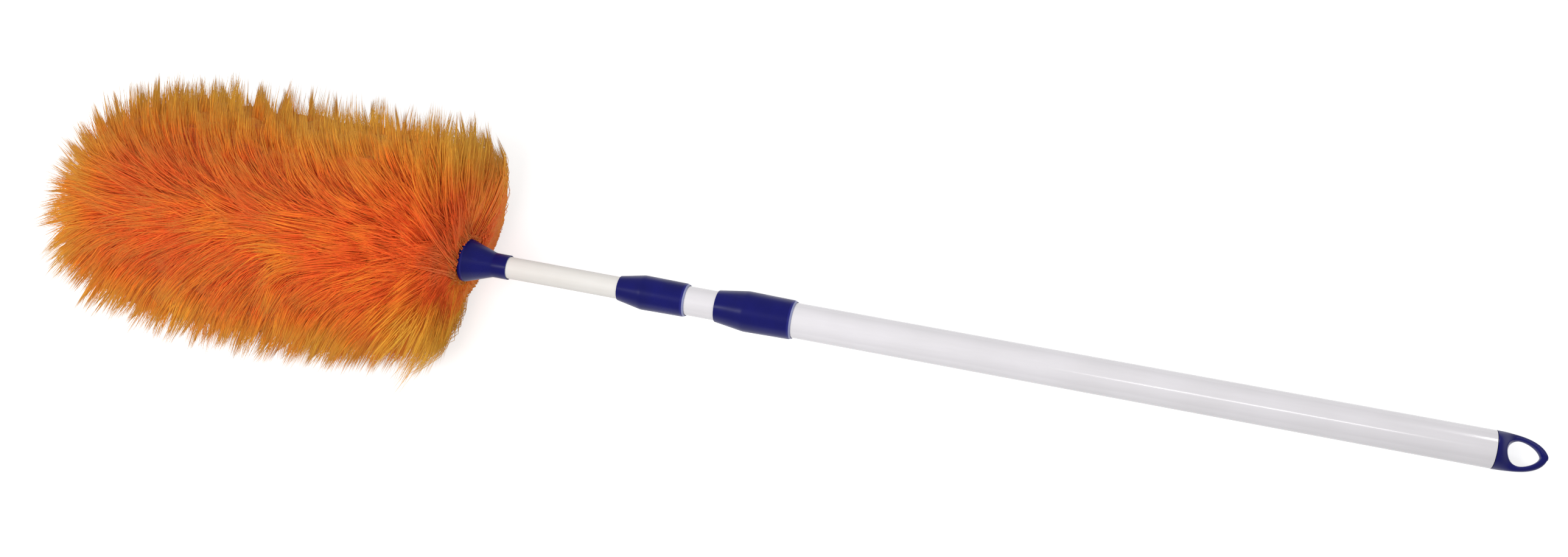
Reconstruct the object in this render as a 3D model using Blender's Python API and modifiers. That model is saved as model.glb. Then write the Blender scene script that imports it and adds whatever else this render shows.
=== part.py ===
# Telescopic wool duster: three plastic tubes that slide in each other, two twist locks,
# a hanging loop at the rear and a wool head on a core rod at the front.
# Metres, +Z up. The duster lies on the floor, head towards -X, hanging loop towards +X.
# Everything is laid out on the pole's axis: x = 0 is the front end of the outer tube,
# the head is at negative x and the hanging loop at positive x.

import math
import random

import bmesh
import bpy
from mathutils import Matrix, Vector

# Tubes
OUTER_OD = 0.0250
OUTER_WALL = 0.0012
OUTER_LENGTH = 0.500
MIDDLE_OD = 0.0210
MIDDLE_WALL = 0.0012
INNER_OD = 0.0160
INNER_WALL = 0.0012
TUBE_EDGE = 0.0003        # chamfer on each tube end

# How far the sections are drawn out as they lie here
MIDDLE_SHOWN = 0.0220     # bare middle tube between the two collars
INNER_SHOWN = 0.0854      # bare inner tube between the small collar and the ferrule

# Clearances
SEAT_GAP = 0.0003         # pressed or glued pieces
GUIDE_GAP = 0.00025       # a collar's nose round the tube that slides in it
RING_GAP = 0.0003         # brake ring in the bore that it grips
JOURNAL_GAP = 0.00075     # brake ring round its journal
CLOSED_GAP = 0.014        # pushed in, each lock stops this far before the plug behind it
OVERRUN = 0.002           # how far a cutter runs past what it cuts
BURY = 0.001              # how far joined shapes run into each other

# Large collar, on the outer tube
LARGE_SLEEVE = 0.0375     # from the tube's end back to the collar's rear edge
LARGE_NOSE = 0.0193       # from the tube's end forward to the lip
LARGE_REAR_OD = 0.0278
LARGE_RIDGE_OD = 0.0290
LARGE_LIP_OD = 0.0228

# Small collar, on the middle tube
SMALL_SLEEVE = 0.0354
SMALL_NOSE = 0.0161
SMALL_REAR_OD = 0.0240
SMALL_RIDGE_OD = 0.0249
SMALL_LIP_OD = 0.0178

COLLAR_RIDGE_BACK = 0.002  # the ridge lies this far behind the tube's end
COLLAR_REAR_EDGE = 0.0007  # rounding of the rear edge
COLLAR_LIP_EDGE = 0.0004   # rounding of the lip
COLLAR_LEAD = 0.0006       # flare at the mouth of the sleeve

# Twist locks
LOCK_ECCENTRICITY = 0.001
LOCK_TURN = math.radians(25)   # from free to gripping, either way
LOCK_FLANGE = 0.002            # thickness of the plug's flange
LOCK_HEAD = 0.0018             # thickness of the snap head that keeps the ring on
LOCK_HEAD_GRIP = 0.0006        # how far the snap head stands over the ring's bore
LOCK_EDGE = 0.0004
LOCK_SLOT = 0.0022             # split in the brake ring
LARGE_RING_LENGTH = 0.014
LARGE_JOURNAL_OD = 0.0140
LARGE_PLUG_LENGTH = 0.018      # shank inside the tube
SMALL_RING_LENGTH = 0.012
SMALL_JOURNAL_OD = 0.0096
SMALL_PLUG_LENGTH = 0.016

# Ribs on every shank that is pressed into a tube
RIB_COUNT = 8
RIB_HEIGHT = 0.0006
RIB_SHARE = 0.25               # share of the circle that the ribs take

# Hanging cap
CAP_LENGTH = 0.0318            # from the tube's end to the tip of the loop
CAP_PLUG_LENGTH = 0.022
CAP_LOOP_THICKNESS = 0.0080
CAP_SHOULDER = 0.0125          # length in which the round mouth flattens into the loop
CAP_ROUNDNESS = 2.65           # exponent of the loop's outline
CAP_SIDE_ROUNDNESS = 2.6       # exponent of the loop's cross-section
HOLE_START = 0.0078            # from the tube's end to the hole
HOLE_REAR = 0.0074             # blunt half of the egg-shaped hole
HOLE_FRONT = 0.0122            # slender half
HOLE_HALF_WIDTH = 0.0082
HOLE_FRONT_ROUNDNESS = 1.65    # exponent of the slender half's outline, where 2 is an ellipse
HOLE_EDGE = 0.0020             # rounding of the hole's edge
NUB_OD = 0.0024                # gate mark at the tip of the loop
NUB_HEIGHT = 0.0007

# Ferrule
FERRULE_RIM_OD = 0.0316
FERRULE_RIM_LAND = 0.0022
FERRULE_CONE = 0.0231          # from the tube's end to the rim
FERRULE_NECK = 0.0115          # neck round the tube
FERRULE_NECK_OD = 0.0180
FERRULE_WALL = 0.0014
FERRULE_WEB = 0.0020           # web that the tube's end stops against
FERRULE_EDGE = 0.0004

# Core rod and fleece
CORE_OD = 0.0130
CORE_IN_TUBE = 0.028
CORE_TIP_DEPTH = 0.040         # from the foremost tips of the wool to the core's front end
CORE_EDGE = 0.0010
HIDE_THICKNESS = 0.0020
STRIP_WIDTH = 0.036
STRIP_GAP = 0.0015             # between one turn of the strip and the next
STRIP_TUCK = 0.004             # how far the strip reaches into the ferrule
TACK_HEAD_OD = 0.0044
TACK_HEAD = 0.0006
TACK_SHANK_OD = 0.0014
TACK_SHANK = 0.0055            # below the hide
TACK_INSET = 0.006             # from an end of the strip to its tack

# Wool pile
PILE_REACH = 0.322             # from the ferrule's rim to the foremost tips
PILE_DIAMETER = 0.210          # across the tips of the locks
PILE_REAR_STAND = 0.0045       # the pile's rear face stands this far behind the rim
PILE_TIP_LENGTH = 0.085        # rounded front end
PILE_REAR_ROUND = 0.034        # rounding at the edge of the rear face
PILE_REAR_FLAT_OD = 0.040      # where the pile leaves the ferrule's rim
PILE_REAR_LEAN = 0.024         # how far the rear end droops forward on the side that it lies on
PILE_LEAN_LENGTH = 0.100       # length of the pile that leans so
PILE_LEAN_TURN = math.radians(225)  # from +Y round to the side that droops most
LOCK_HEIGHT = 0.018            # from the valleys to the tips of the locks
LOCK_SWEEP = 0.016             # how far a lock's tip leans towards the front
LOCK_SWIRL = math.radians(9)   # how far a lock's tip leans round the axis
LOCK_VARIATION_SHARE = 0.5     # the smallest lock stands this much lower than the largest
LOCK_CREST_SHARE = 0.7         # where along its row a lock is highest
LOCK_POINT_SHARE = 0.55        # how much narrower a lock is at its tip
LOCKS_AROUND = 15
LOCK_ROWS = 8
POINTS_PER_LOCK = 4
POINTS_PER_ROW = 4
PILE_SEED = 11

# How it lies: the axis stands this high over the floor at the middle of the pile
PILE_REST_HEIGHT = 0.083

# Facets
TUBE_SEGMENTS = 40
SMALL_SEGMENTS = 28
TACK_SEGMENTS = 10
CAP_FRONT_SECTIONS = 28
CAP_REAR_SECTIONS = 14
CAP_BAND_POINTS = 7
STRIP_SEGMENTS = 16
PILE_CORNER_STEPS = 8
PILE_TIP_STEPS = 24
HALVINGS = 40
SHARP_ANGLE = math.radians(35)
TURN_MERGE = 0.00001
LOFT_MERGE = 0.000001

# How far each lock stands out behind its tube
LARGE_LOCK_REACH = LOCK_FLANGE + LARGE_RING_LENGTH + LOCK_HEAD + 3 * SEAT_GAP
SMALL_LOCK_REACH = LOCK_FLANGE + SMALL_RING_LENGTH + LOCK_HEAD + 3 * SEAT_GAP

# Places along the axis. Pushed in, a tube ends its CLOSED_GAP before the plug behind its lock
CAP_X = OUTER_LENGTH + SEAT_GAP
LARGE_LIP_X = -LARGE_NOSE
SMALL_REAR_X = LARGE_LIP_X - MIDDLE_SHOWN
MIDDLE_FRONT_X = SMALL_REAR_X - SMALL_SLEEVE
MIDDLE_REAR_X = CAP_X - CAP_PLUG_LENGTH - CLOSED_GAP - LARGE_LOCK_REACH - MIDDLE_SHOWN
SMALL_LIP_X = MIDDLE_FRONT_X - SMALL_NOSE
NECK_REAR_X = SMALL_LIP_X - INNER_SHOWN
INNER_FRONT_X = NECK_REAR_X - FERRULE_NECK
INNER_REAR_X = MIDDLE_REAR_X - LARGE_PLUG_LENGTH - CLOSED_GAP - SMALL_LOCK_REACH - INNER_SHOWN
RIM_X = INNER_FRONT_X - FERRULE_CONE
PILE_TIP_X = RIM_X - PILE_REACH
PILE_REAR_X = RIM_X + PILE_REAR_STAND
CORE_FRONT_X = PILE_TIP_X + CORE_TIP_DEPTH

# Radii that follow from the above
OUTER_BORE = OUTER_OD / 2 - OUTER_WALL
MIDDLE_BORE = MIDDLE_OD / 2 - MIDDLE_WALL
INNER_BORE = INNER_OD / 2 - INNER_WALL
HIDE_INNER = CORE_OD / 2 + SEAT_GAP
HIDE_OUTER = HIDE_INNER + HIDE_THICKNESS
PILE_BORE = HIDE_OUTER + TACK_HEAD + 2 * SEAT_GAP

# The pole leans so that the cap's mouth touches the floor and the pile is pressed flat on it
PILE_MIDDLE_X = (PILE_TIP_X + PILE_REAR_X) / 2
TILT = math.atan((PILE_REST_HEIGHT - OUTER_OD / 2) / (CAP_X - PILE_MIDDLE_X))
BOX_MIDDLE_X = (PILE_TIP_X + OUTER_LENGTH + CAP_LENGTH) / 2


def remove_everything():
    for thing in list(bpy.data.objects):
        bpy.data.objects.remove(thing, do_unlink=True)
    for group in list(bpy.data.collections):
        bpy.data.collections.remove(group)


def make_collection(name):
    group = bpy.data.collections.new(name)
    bpy.context.scene.collection.children.link(group)
    return group


def make_material(name, colour, roughness, metallic=0.0):
    material = bpy.data.materials.new(name)
    material.use_nodes = True
    shader = material.node_tree.nodes["Principled BSDF"]
    shader.inputs["Base Color"].default_value = (*colour, 1.0)
    shader.inputs["Roughness"].default_value = roughness
    shader.inputs["Metallic"].default_value = metallic
    material.diffuse_color = (*colour, 1.0)
    return material


def make_pole_axis():
    """The empty that lays the pole's axis down: x = 0 is over the point given by the tilt."""
    axis = bpy.data.objects.new("pole_axis", None)
    bpy.context.scene.collection.objects.link(axis)
    axis.rotation_euler = (0, TILT, 0)
    mouth_height = OUTER_OD / 2 * math.cos(TILT)
    axis.location = (
        -BOX_MIDDLE_X * math.cos(TILT),
        0,
        mouth_height + CAP_X * math.sin(TILT),
    )
    return axis


def place(name, mesh, material=None, cutter=False):
    """An object on the pole's axis; a cutter is only a guide."""
    thing = bpy.data.objects.new(name, mesh)
    (cutters if cutter else parts).objects.link(thing)
    thing.parent = pole_axis
    if material:
        mesh.materials.append(material)
    if cutter:
        thing.hide_render = True
        thing.display_type = "WIRE"
    return thing


def finish_mesh(bm, name):
    mesh = bpy.data.meshes.new(name)
    bm.to_mesh(mesh)
    bm.free()
    return mesh


def smooth(thing):
    thing.data.shade_smooth()
    thing.data.set_sharp_from_angle(angle=SHARP_ANGLE)
    return thing


def turned(name, outline, material=None, segments=TUBE_SEGMENTS, cutter=False, closed=True):
    """A turned piece. The outline is (x, radius) points, along the outer side towards the head."""
    bm = bmesh.new()
    points = [bm.verts.new((x, 0, radius)) for x, radius in outline]
    for first, second in zip(points, points[1:]):
        bm.edges.new((first, second))
    if closed:
        bm.edges.new((points[-1], points[0]))
    thing = place(name, finish_mesh(bm, name), material, cutter)
    screw = thing.modifiers.new("turn", "SCREW")
    screw.axis = "X"
    screw.steps = segments
    screw.render_steps = segments
    screw.use_merge_vertices = True
    screw.merge_threshold = TURN_MERGE
    return smooth(thing)


def boolean(thing, tool, operation):
    modifier = thing.modifiers.new(operation.lower(), "BOOLEAN")
    modifier.operation = operation
    modifier.object = tool
    modifier.solver = "EXACT"


def cut(thing, tool):
    boolean(thing, tool, "DIFFERENCE")


def join(thing, tool):
    boolean(thing, tool, "UNION")


def bar(name, radius, x_front, x_rear, segments=SMALL_SEGMENTS, cutter=True, material=None):
    """A round bar along the axis."""
    outline = [(x_rear, 0), (x_rear, radius), (x_front, radius), (x_front, 0)]
    return turned(name, outline, material, segments, cutter, closed=False)


def tube(name, outer_radius, wall, x_front, x_rear):
    inner_radius = outer_radius - wall
    edge = TUBE_EDGE
    outline = [
        (x_rear, outer_radius - edge),
        (x_rear - edge, outer_radius),
        (x_front + edge, outer_radius),
        (x_front, outer_radius - edge),
        (x_front, inner_radius + edge),
        (x_front + edge, inner_radius),
        (x_rear - edge, inner_radius),
        (x_rear, inner_radius + edge),
    ]
    return turned(name, outline, white)


def collar(name, tube_end, tube_radius, guided_radius, sleeve, nose, rear_od, ridge_od, lip_od):
    """A sleeve on a tube's end: straight barrel, ridge, and a nose that tapers to the lip."""
    rear = tube_end + sleeve
    lip = tube_end - nose
    seat = tube_radius + SEAT_GAP
    guide = guided_radius + GUIDE_GAP
    ridge = tube_end + COLLAR_RIDGE_BACK
    step = COLLAR_REAR_EDGE / 2
    bend = (ridge_od - lip_od) / (2 * (nose + COLLAR_RIDGE_BACK))
    outline = [
        (rear, rear_od / 2 - COLLAR_REAR_EDGE),
        (rear - step / 2, rear_od / 2 - step),
        (rear - COLLAR_REAR_EDGE, rear_od / 2),
        (ridge + COLLAR_RIDGE_BACK, ridge_od / 2 - COLLAR_REAR_EDGE * bend),
        (ridge, ridge_od / 2),
        (lip + COLLAR_LIP_EDGE, lip_od / 2 + COLLAR_LIP_EDGE * bend),
        (lip, lip_od / 2 - COLLAR_LIP_EDGE),
        (lip, guide + COLLAR_LIP_EDGE / 2),
        (lip + COLLAR_LIP_EDGE, guide),
        (tube_end - SEAT_GAP, guide),
        (tube_end - SEAT_GAP, seat),
        (rear - COLLAR_LEAD, seat),
        (rear, seat + COLLAR_LEAD / 2),
    ]
    return turned(name, outline, blue)


def ribbed_shank(name, bore, x_front, x_rear, cutter=True):
    """A shank whose ribs reach the bore; its points alternate between rib and root by angle."""
    per_rib = TUBE_SEGMENTS // RIB_COUNT
    bm = bmesh.new()
    bmesh.ops.create_cone(
        bm,
        cap_ends=True,
        segments=per_rib * RIB_COUNT,
        radius1=bore - SEAT_GAP,
        radius2=bore - SEAT_GAP,
        depth=x_rear - x_front,
    )
    on_rib = max(2, round(per_rib * RIB_SHARE))
    for vert in bm.verts:
        angle = math.atan2(vert.co.y, vert.co.x) / math.tau % 1
        if round(angle * per_rib * RIB_COUNT) % per_rib >= on_rib:
            shrink = (bore - SEAT_GAP - RIB_HEIGHT) / (bore - SEAT_GAP)
            vert.co.x *= shrink
            vert.co.y *= shrink
    turn = Matrix.Rotation(math.radians(90), 4, "Y")
    slide = Matrix.Translation(((x_front + x_rear) / 2, 0, 0))
    bmesh.ops.transform(bm, matrix=slide @ turn, verts=bm.verts)
    return place(name, finish_mesh(bm, name), None, cutter)


def turned_about(thing, angle, offset):
    """Moves a cutter's axis off the pole's axis: offset along z, then turned about x."""
    turn = Matrix.Rotation(angle, 4, "X")
    thing.data.transform(turn)
    thing.location = turn @ Vector((0, 0, offset))
    return thing


def lock_plug(name, tube_end, tube_radius, bore, shank, ring_length, journal_od):
    """Shank, flange, eccentric journal and snap head in one moulding."""
    flange_front = tube_end + SEAT_GAP
    flange_rear = flange_front + LOCK_FLANGE
    journal_end = flange_rear + ring_length + 2 * SEAT_GAP
    edge = LOCK_EDGE
    outline = [
        (flange_rear, 0),
        (flange_rear, tube_radius - edge),
        (flange_rear - edge, tube_radius),
        (flange_front + edge, tube_radius),
        (flange_front, tube_radius - edge),
        (flange_front, 0),
    ]
    thing = turned(name, outline, natural, closed=False)
    join(thing, ribbed_shank(name + "_shank", bore, tube_end - shank, flange_front + BURY))
    journal = journal_od / 2
    head = journal + JOURNAL_GAP + LOCK_HEAD_GRIP
    head_end = journal_end + LOCK_HEAD
    outline = [
        (head_end, 0),
        (head_end, journal),
        (journal_end + edge, head),
        (journal_end, head - edge),
        (journal_end, journal),
        (flange_rear - BURY, journal),
        (flange_rear - BURY, 0),
    ]
    stub = turned(name + "_journal", outline, None, SMALL_SEGMENTS, cutter=True, closed=False)
    join(thing, turned_about(stub, LOCK_TURN, LOCK_ECCENTRICITY))
    return thing


def lock_ring(name, tube_end, bore, ring_length, journal_od):
    """A split ring whose bore is off centre by the eccentricity of the journal."""
    front = tube_end + SEAT_GAP + LOCK_FLANGE + SEAT_GAP
    rear = front + ring_length
    radius = bore - RING_GAP
    edge = LOCK_EDGE
    outline = [
        (rear, 0),
        (rear, radius - edge),
        (rear - edge, radius),
        (front + edge, radius),
        (front, radius - edge),
        (front, 0),
    ]
    thing = turned(name, outline, natural, closed=False)
    inner = journal_od / 2 + JOURNAL_GAP
    hole = bar(name + "_bore", inner, front - OVERRUN, rear + OVERRUN)
    cut(thing, turned_about(hole, 0, LOCK_ECCENTRICITY))
    cut(thing, slot_box(name + "_slot", front, rear, radius))
    return thing


def slot_box(name, front, rear, radius):
    """The split runs from the bore through the thin side of the ring."""
    bm = bmesh.new()
    bmesh.ops.create_cube(bm, size=1)
    size = Vector((rear - front + 2 * OVERRUN, LOCK_SLOT, radius + OVERRUN))
    bmesh.ops.scale(bm, vec=size, verts=bm.verts)
    middle = Vector(((front + rear) / 2, 0, size.z / 2))
    bmesh.ops.translate(bm, vec=middle, verts=bm.verts)
    return place(name, finish_mesh(bm, name), None, cutter=True)


def cap_half_width(x):
    """Half the loop's width at a distance x from the tube's end: a superellipse."""
    share = min(max(x / CAP_LENGTH, 0), 1)
    return OUTER_OD / 2 * (1 - share**CAP_ROUNDNESS) ** 0.5


def cap_half_thickness(x, y):
    """Half the cap's thickness over a point of its plan: round at the mouth, flat in the loop."""
    ease = min(x / CAP_SHOULDER, 1)
    ease = ease * ease * (3 - 2 * ease)
    thick = OUTER_OD / 2 + (CAP_LOOP_THICKNESS - OUTER_OD) / 2 * ease
    power = 2 + (CAP_SIDE_ROUNDNESS - 2) * ease
    width = cap_half_width(x)
    share = min(abs(y) / width, 1) if width > 0 else 1
    return thick * (1 - share**power) ** (1 / power)


def cap_plan():
    """Pairs of plan points, on the hole's edge and on the cap's edge, once round the loop."""
    hole_x = HOLE_START + HOLE_REAR
    pairs = []
    corner = math.pi - math.atan2(OUTER_OD / 2, hole_x)
    for i in range(CAP_FRONT_SECTIONS):
        angle = -corner + 2 * corner * i / CAP_FRONT_SECTIONS
        pairs.append((hole_point(hole_x, angle), cap_edge(hole_x, angle)))
    for i in range(CAP_REAR_SECTIONS):
        share = i / CAP_REAR_SECTIONS
        angle = corner + 2 * (math.pi - corner) * share
        outer = Vector((0, OUTER_OD / 2 * math.cos(math.pi * share)))
        pairs.append((hole_point(hole_x, angle), outer))
    return pairs


def hole_point(hole_x, angle):
    """A point of the egg-shaped hole: half an ellipse behind and a slightly pointed half in front."""
    ahead, side = math.cos(angle), math.sin(angle)
    power = 2 / HOLE_FRONT_ROUNDNESS if ahead > 0 else 1
    reach = HOLE_FRONT if ahead > 0 else -HOLE_REAR
    y = HOLE_HALF_WIDTH * math.copysign(abs(side) ** power, side)
    return Vector((hole_x + reach * abs(ahead) ** power, y))


def cap_edge(hole_x, angle):
    """Where a ray from the middle of the hole meets the cap's outline, by halving."""
    near, far = 0.0, CAP_LENGTH
    for _ in range(HALVINGS):
        reach = (near + far) / 2
        x = hole_x + reach * math.cos(angle)
        y = reach * math.sin(angle)
        inside = 0 <= x < CAP_LENGTH and abs(y) < cap_half_width(x)
        near, far = (reach, far) if inside else (near, reach)
    x = max(hole_x + near * math.cos(angle), 0)
    return Vector((x, near * math.sin(angle)))


def loop_section(inner, outer):
    """One closed section of the loop, over the top from the hole outwards and back below."""
    span = (outer - inner).length
    upper = []
    for j in range(CAP_BAND_POINTS + 1):
        share = (1 - math.cos(math.pi * j / CAP_BAND_POINTS)) / 2
        point = inner.lerp(outer, share)
        rise = min(span * share / HOLE_EDGE, 1)
        height = cap_half_thickness(point.x, point.y) * (1 - (1 - rise) ** 2) ** 0.5
        upper.append(Vector((CAP_X + point.x, point.y, height)))
    lower = [Vector((p.x, p.y, -p.z)) for p in reversed(upper)]
    return upper + lower


def loft(name, sections, material=None, cutter=False, closed=True):
    """Skins a row of sections with the same number of points."""
    bm = bmesh.new()
    rows = [[bm.verts.new(point) for point in section] for section in sections]
    count = len(rows[0])
    for i in range(len(rows) if closed else len(rows) - 1):
        first, second = rows[i], rows[(i + 1) % len(rows)]
        for j in range(count):
            k = (j + 1) % count
            bm.faces.new((first[j], second[j], second[k], first[k]))
    if not closed:
        bm.faces.new(rows[0])
        bm.faces.new(list(reversed(rows[-1])))
    bmesh.ops.remove_doubles(bm, verts=bm.verts, dist=LOFT_MERGE)
    bmesh.ops.dissolve_degenerate(bm, edges=bm.edges, dist=LOFT_MERGE)
    bmesh.ops.recalc_face_normals(bm, faces=bm.faces)
    return place(name, finish_mesh(bm, name), material, cutter)


def hang_cap():
    """The loop, its ribbed plug inside the tube and the gate mark at its tip."""
    sections = [loop_section(inner, outer) for inner, outer in cap_plan()]
    thing = loft("hang_cap", sections, blue)
    smooth(thing)
    plug = ribbed_shank("hang_cap_plug", OUTER_BORE, CAP_X - CAP_PLUG_LENGTH, CAP_X + BURY)
    join(thing, plug)
    tip = CAP_X + CAP_LENGTH
    nub = bar("hang_cap_nub", NUB_OD / 2, tip - BURY, tip + NUB_HEIGHT, TACK_SEGMENTS)
    join(thing, nub)
    return thing


def ferrule():
    """A hollow cone, open towards the head, with a neck round the tube and a web at its end."""
    neck = FERRULE_NECK_OD / 2
    rim = FERRULE_RIM_OD / 2
    seat = INNER_OD / 2 + SEAT_GAP
    web_rear = INNER_FRONT_X - SEAT_GAP
    web_front = web_rear - FERRULE_WEB
    land = RIM_X + FERRULE_RIM_LAND
    edge = FERRULE_EDGE
    core_hole = CORE_OD / 2 + SEAT_GAP
    outline = [
        (NECK_REAR_X, neck - edge),
        (NECK_REAR_X - edge, neck),
        (INNER_FRONT_X, neck),
        (land, rim),
        (RIM_X + edge, rim),
        (RIM_X, rim - edge),
        (RIM_X, rim - FERRULE_WALL),
        (land, rim - FERRULE_WALL),
        (web_front, core_hole + FERRULE_WALL),
        (web_front, core_hole),
        (web_rear, core_hole),
        (web_rear, seat),
        (NECK_REAR_X, seat),
    ]
    return turned("head_ferrule", outline, blue)


def core_rod():
    front = CORE_FRONT_X
    rear = INNER_FRONT_X + CORE_IN_TUBE
    radius = CORE_OD / 2
    outline = [
        (rear, 0),
        (rear, radius - CORE_EDGE),
        (rear - CORE_EDGE, radius),
        (front + CORE_EDGE, radius),
        (front, radius - CORE_EDGE),
        (front, 0),
    ]
    return turned("head_core", outline, grey, SMALL_SEGMENTS, closed=False)


def fleece_strip():
    """The strip of hide runs round the core in a spiral from inside the ferrule to the tip."""
    start = RIM_X + STRIP_TUCK
    pitch = STRIP_WIDTH + STRIP_GAP
    turns = (start - STRIP_WIDTH - CORE_FRONT_X) / pitch
    steps = math.ceil(turns * STRIP_SEGMENTS)
    sections = []
    for i in range(steps + 1):
        turn = turns * i / steps
        angle = math.tau * turn
        rear = start - pitch * turn
        front = rear - STRIP_WIDTH
        out = Vector((0, math.cos(angle), math.sin(angle)))
        corners = ((rear, HIDE_INNER), (rear, HIDE_OUTER), (front, HIDE_OUTER), (front, HIDE_INNER))
        sections.append([Vector((x, 0, 0)) + out * radius for x, radius in corners])
    return loft("fleece_strip", sections, hide, closed=False), turns, pitch, start


def tip_disc():
    rear = CORE_FRONT_X - SEAT_GAP
    front = rear - HIDE_THICKNESS
    return bar("fleece_tip_disc", HIDE_OUTER, front, rear, SMALL_SEGMENTS, False, hide)


def tack_rings(bm, matrix, radii):
    """A closed turned shape about a local z axis, from (height, radius) pairs."""
    rings = []
    for height, radius in radii:
        ring = []
        for i in range(TACK_SEGMENTS):
            angle = math.tau * i / TACK_SEGMENTS
            point = Vector((radius * math.cos(angle), radius * math.sin(angle), height))
            ring.append(bm.verts.new(matrix @ point))
        rings.append(ring)
    for lower, upper in zip(rings, rings[1:]):
        for i in range(TACK_SEGMENTS):
            k = (i + 1) % TACK_SEGMENTS
            bm.faces.new((lower[i], lower[k], upper[k], upper[i]))
    bm.faces.new(list(reversed(rings[0])))
    bm.faces.new(rings[-1])


def tack(name, spot):
    """A tack whose head lies on the hide; z = 0 is the hide's face."""
    point = -TACK_SHANK - HIDE_THICKNESS
    bm = bmesh.new()
    tack_rings(
        bm,
        spot,
        (
            (point, TACK_SHANK_OD / 4),
            (point + TACK_SHANK_OD, TACK_SHANK_OD / 2),
            (SEAT_GAP, TACK_SHANK_OD / 2),
            (SEAT_GAP, TACK_HEAD_OD / 2),
            (SEAT_GAP + TACK_HEAD / 2, TACK_HEAD_OD / 2),
            (SEAT_GAP + TACK_HEAD, TACK_HEAD_OD / 3),
        ),
    )
    return place(name, finish_mesh(bm, name), steel)


def tack_hole(name, spot):
    hole = TACK_SHANK_OD / 2 + SEAT_GAP
    depth = -TACK_SHANK - HIDE_THICKNESS - SEAT_GAP
    bm = bmesh.new()
    tack_rings(bm, spot, ((depth, hole), (OVERRUN, hole)))
    return place(name, finish_mesh(bm, name), None, cutter=True)


def tacks(strip, turns, pitch, start, core, disc):
    """One tack near each end of the strip and one through the tip patch."""
    inset_turn = TACK_INSET / (math.tau * HIDE_OUTER)
    for name, turn in (("rear_tack", inset_turn), ("front_tack", turns - inset_turn)):
        x = start - pitch * turn - STRIP_WIDTH / 2
        face = Matrix.Rotation(math.tau * turn - math.pi / 2, 4, "X")
        spot = Matrix.Translation((x, 0, 0)) @ face @ Matrix.Translation((0, 0, HIDE_OUTER))
        tack(name, spot)
        hole = tack_hole(name + "_hole", spot)
        cut(strip, hole)
        cut(core, hole)
    tip = CORE_FRONT_X - SEAT_GAP - HIDE_THICKNESS
    spot = Matrix.Translation((tip, 0, 0)) @ Matrix.Rotation(-math.pi / 2, 4, "Y")
    tack("tip_tack", spot)
    hole = tack_hole("tip_tack_hole", spot)
    cut(disc, hole)
    cut(core, hole)


def pile_outline():
    """(x, radius) points of the pile's valleys at even steps, from the rear centre to the tip."""
    radius = PILE_DIAMETER / 2 - LOCK_HEIGHT
    tip = PILE_TIP_X + LOCK_SWEEP / 2
    dish = RIM_X - SEAT_GAP
    corner = PILE_REAR_ROUND
    path = [(dish, 0), (dish, PILE_REAR_FLAT_OD / 2)]
    for i in range(PILE_CORNER_STEPS + 1):
        angle = math.pi / 2 * i / PILE_CORNER_STEPS
        x = PILE_REAR_X - corner * (1 - math.cos(angle))
        path.append((x, radius - corner * (1 - math.sin(angle))))
    for i in range(PILE_TIP_STEPS + 1):
        angle = math.pi / 2 * i / PILE_TIP_STEPS
        x = tip + PILE_TIP_LENGTH * (1 - math.sin(angle))
        path.append((x, radius * math.cos(angle)))
    return even_points(path, LOCK_ROWS * POINTS_PER_ROW)


def even_points(path, steps):
    """Points at even distances along a path, its two ends among them."""
    lengths = [0.0]
    for (x0, r0), (x1, r1) in zip(path, path[1:]):
        lengths.append(lengths[-1] + math.hypot(x1 - x0, r1 - r0))
    points = []
    for i in range(steps + 1):
        want = lengths[-1] * i / steps
        k = max(j for j in range(len(lengths) - 1) if lengths[j] <= want)
        share = (want - lengths[k]) / (lengths[k + 1] - lengths[k])
        (x0, r0), (x1, r1) = path[k], path[k + 1]
        points.append((x0 + (x1 - x0) * share, r0 + (r1 - r0) * share))
    return points


def lock_rise(row, column, sizes):
    """How high the pile stands at a place counted in rows and locks: 0 in a valley, 1 on a crest."""
    band = math.floor(row)
    along = row - band
    across = column + 0.5 * (band % 2)
    lock = math.floor(across) % LOCKS_AROUND
    side = abs(across - math.floor(across) - 0.5) * 2
    width = 1 - LOCK_POINT_SHARE * along
    ridge = max(1 - (side / width) ** 2, 0)
    if along < LOCK_CREST_SHARE:
        ramp = math.sin(math.pi / 2 * along / LOCK_CREST_SHARE)
    else:
        ramp = math.cos(math.pi / 2 * (along - LOCK_CREST_SHARE) / (1 - LOCK_CREST_SHARE))
    return sizes[band % LOCK_ROWS][lock] * ramp * ridge


def rear_lean(x, radius, angle):
    """How far the rear end leans forward at a place: it droops to one side and most at its edge."""
    side = max(math.cos(angle - PILE_LEAN_TURN), 0)
    behind = max(1 - (PILE_REAR_X - x) / PILE_LEAN_LENGTH, 0)
    return PILE_REAR_LEAN * side * behind * (2 * radius / PILE_DIAMETER) ** 2


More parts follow.
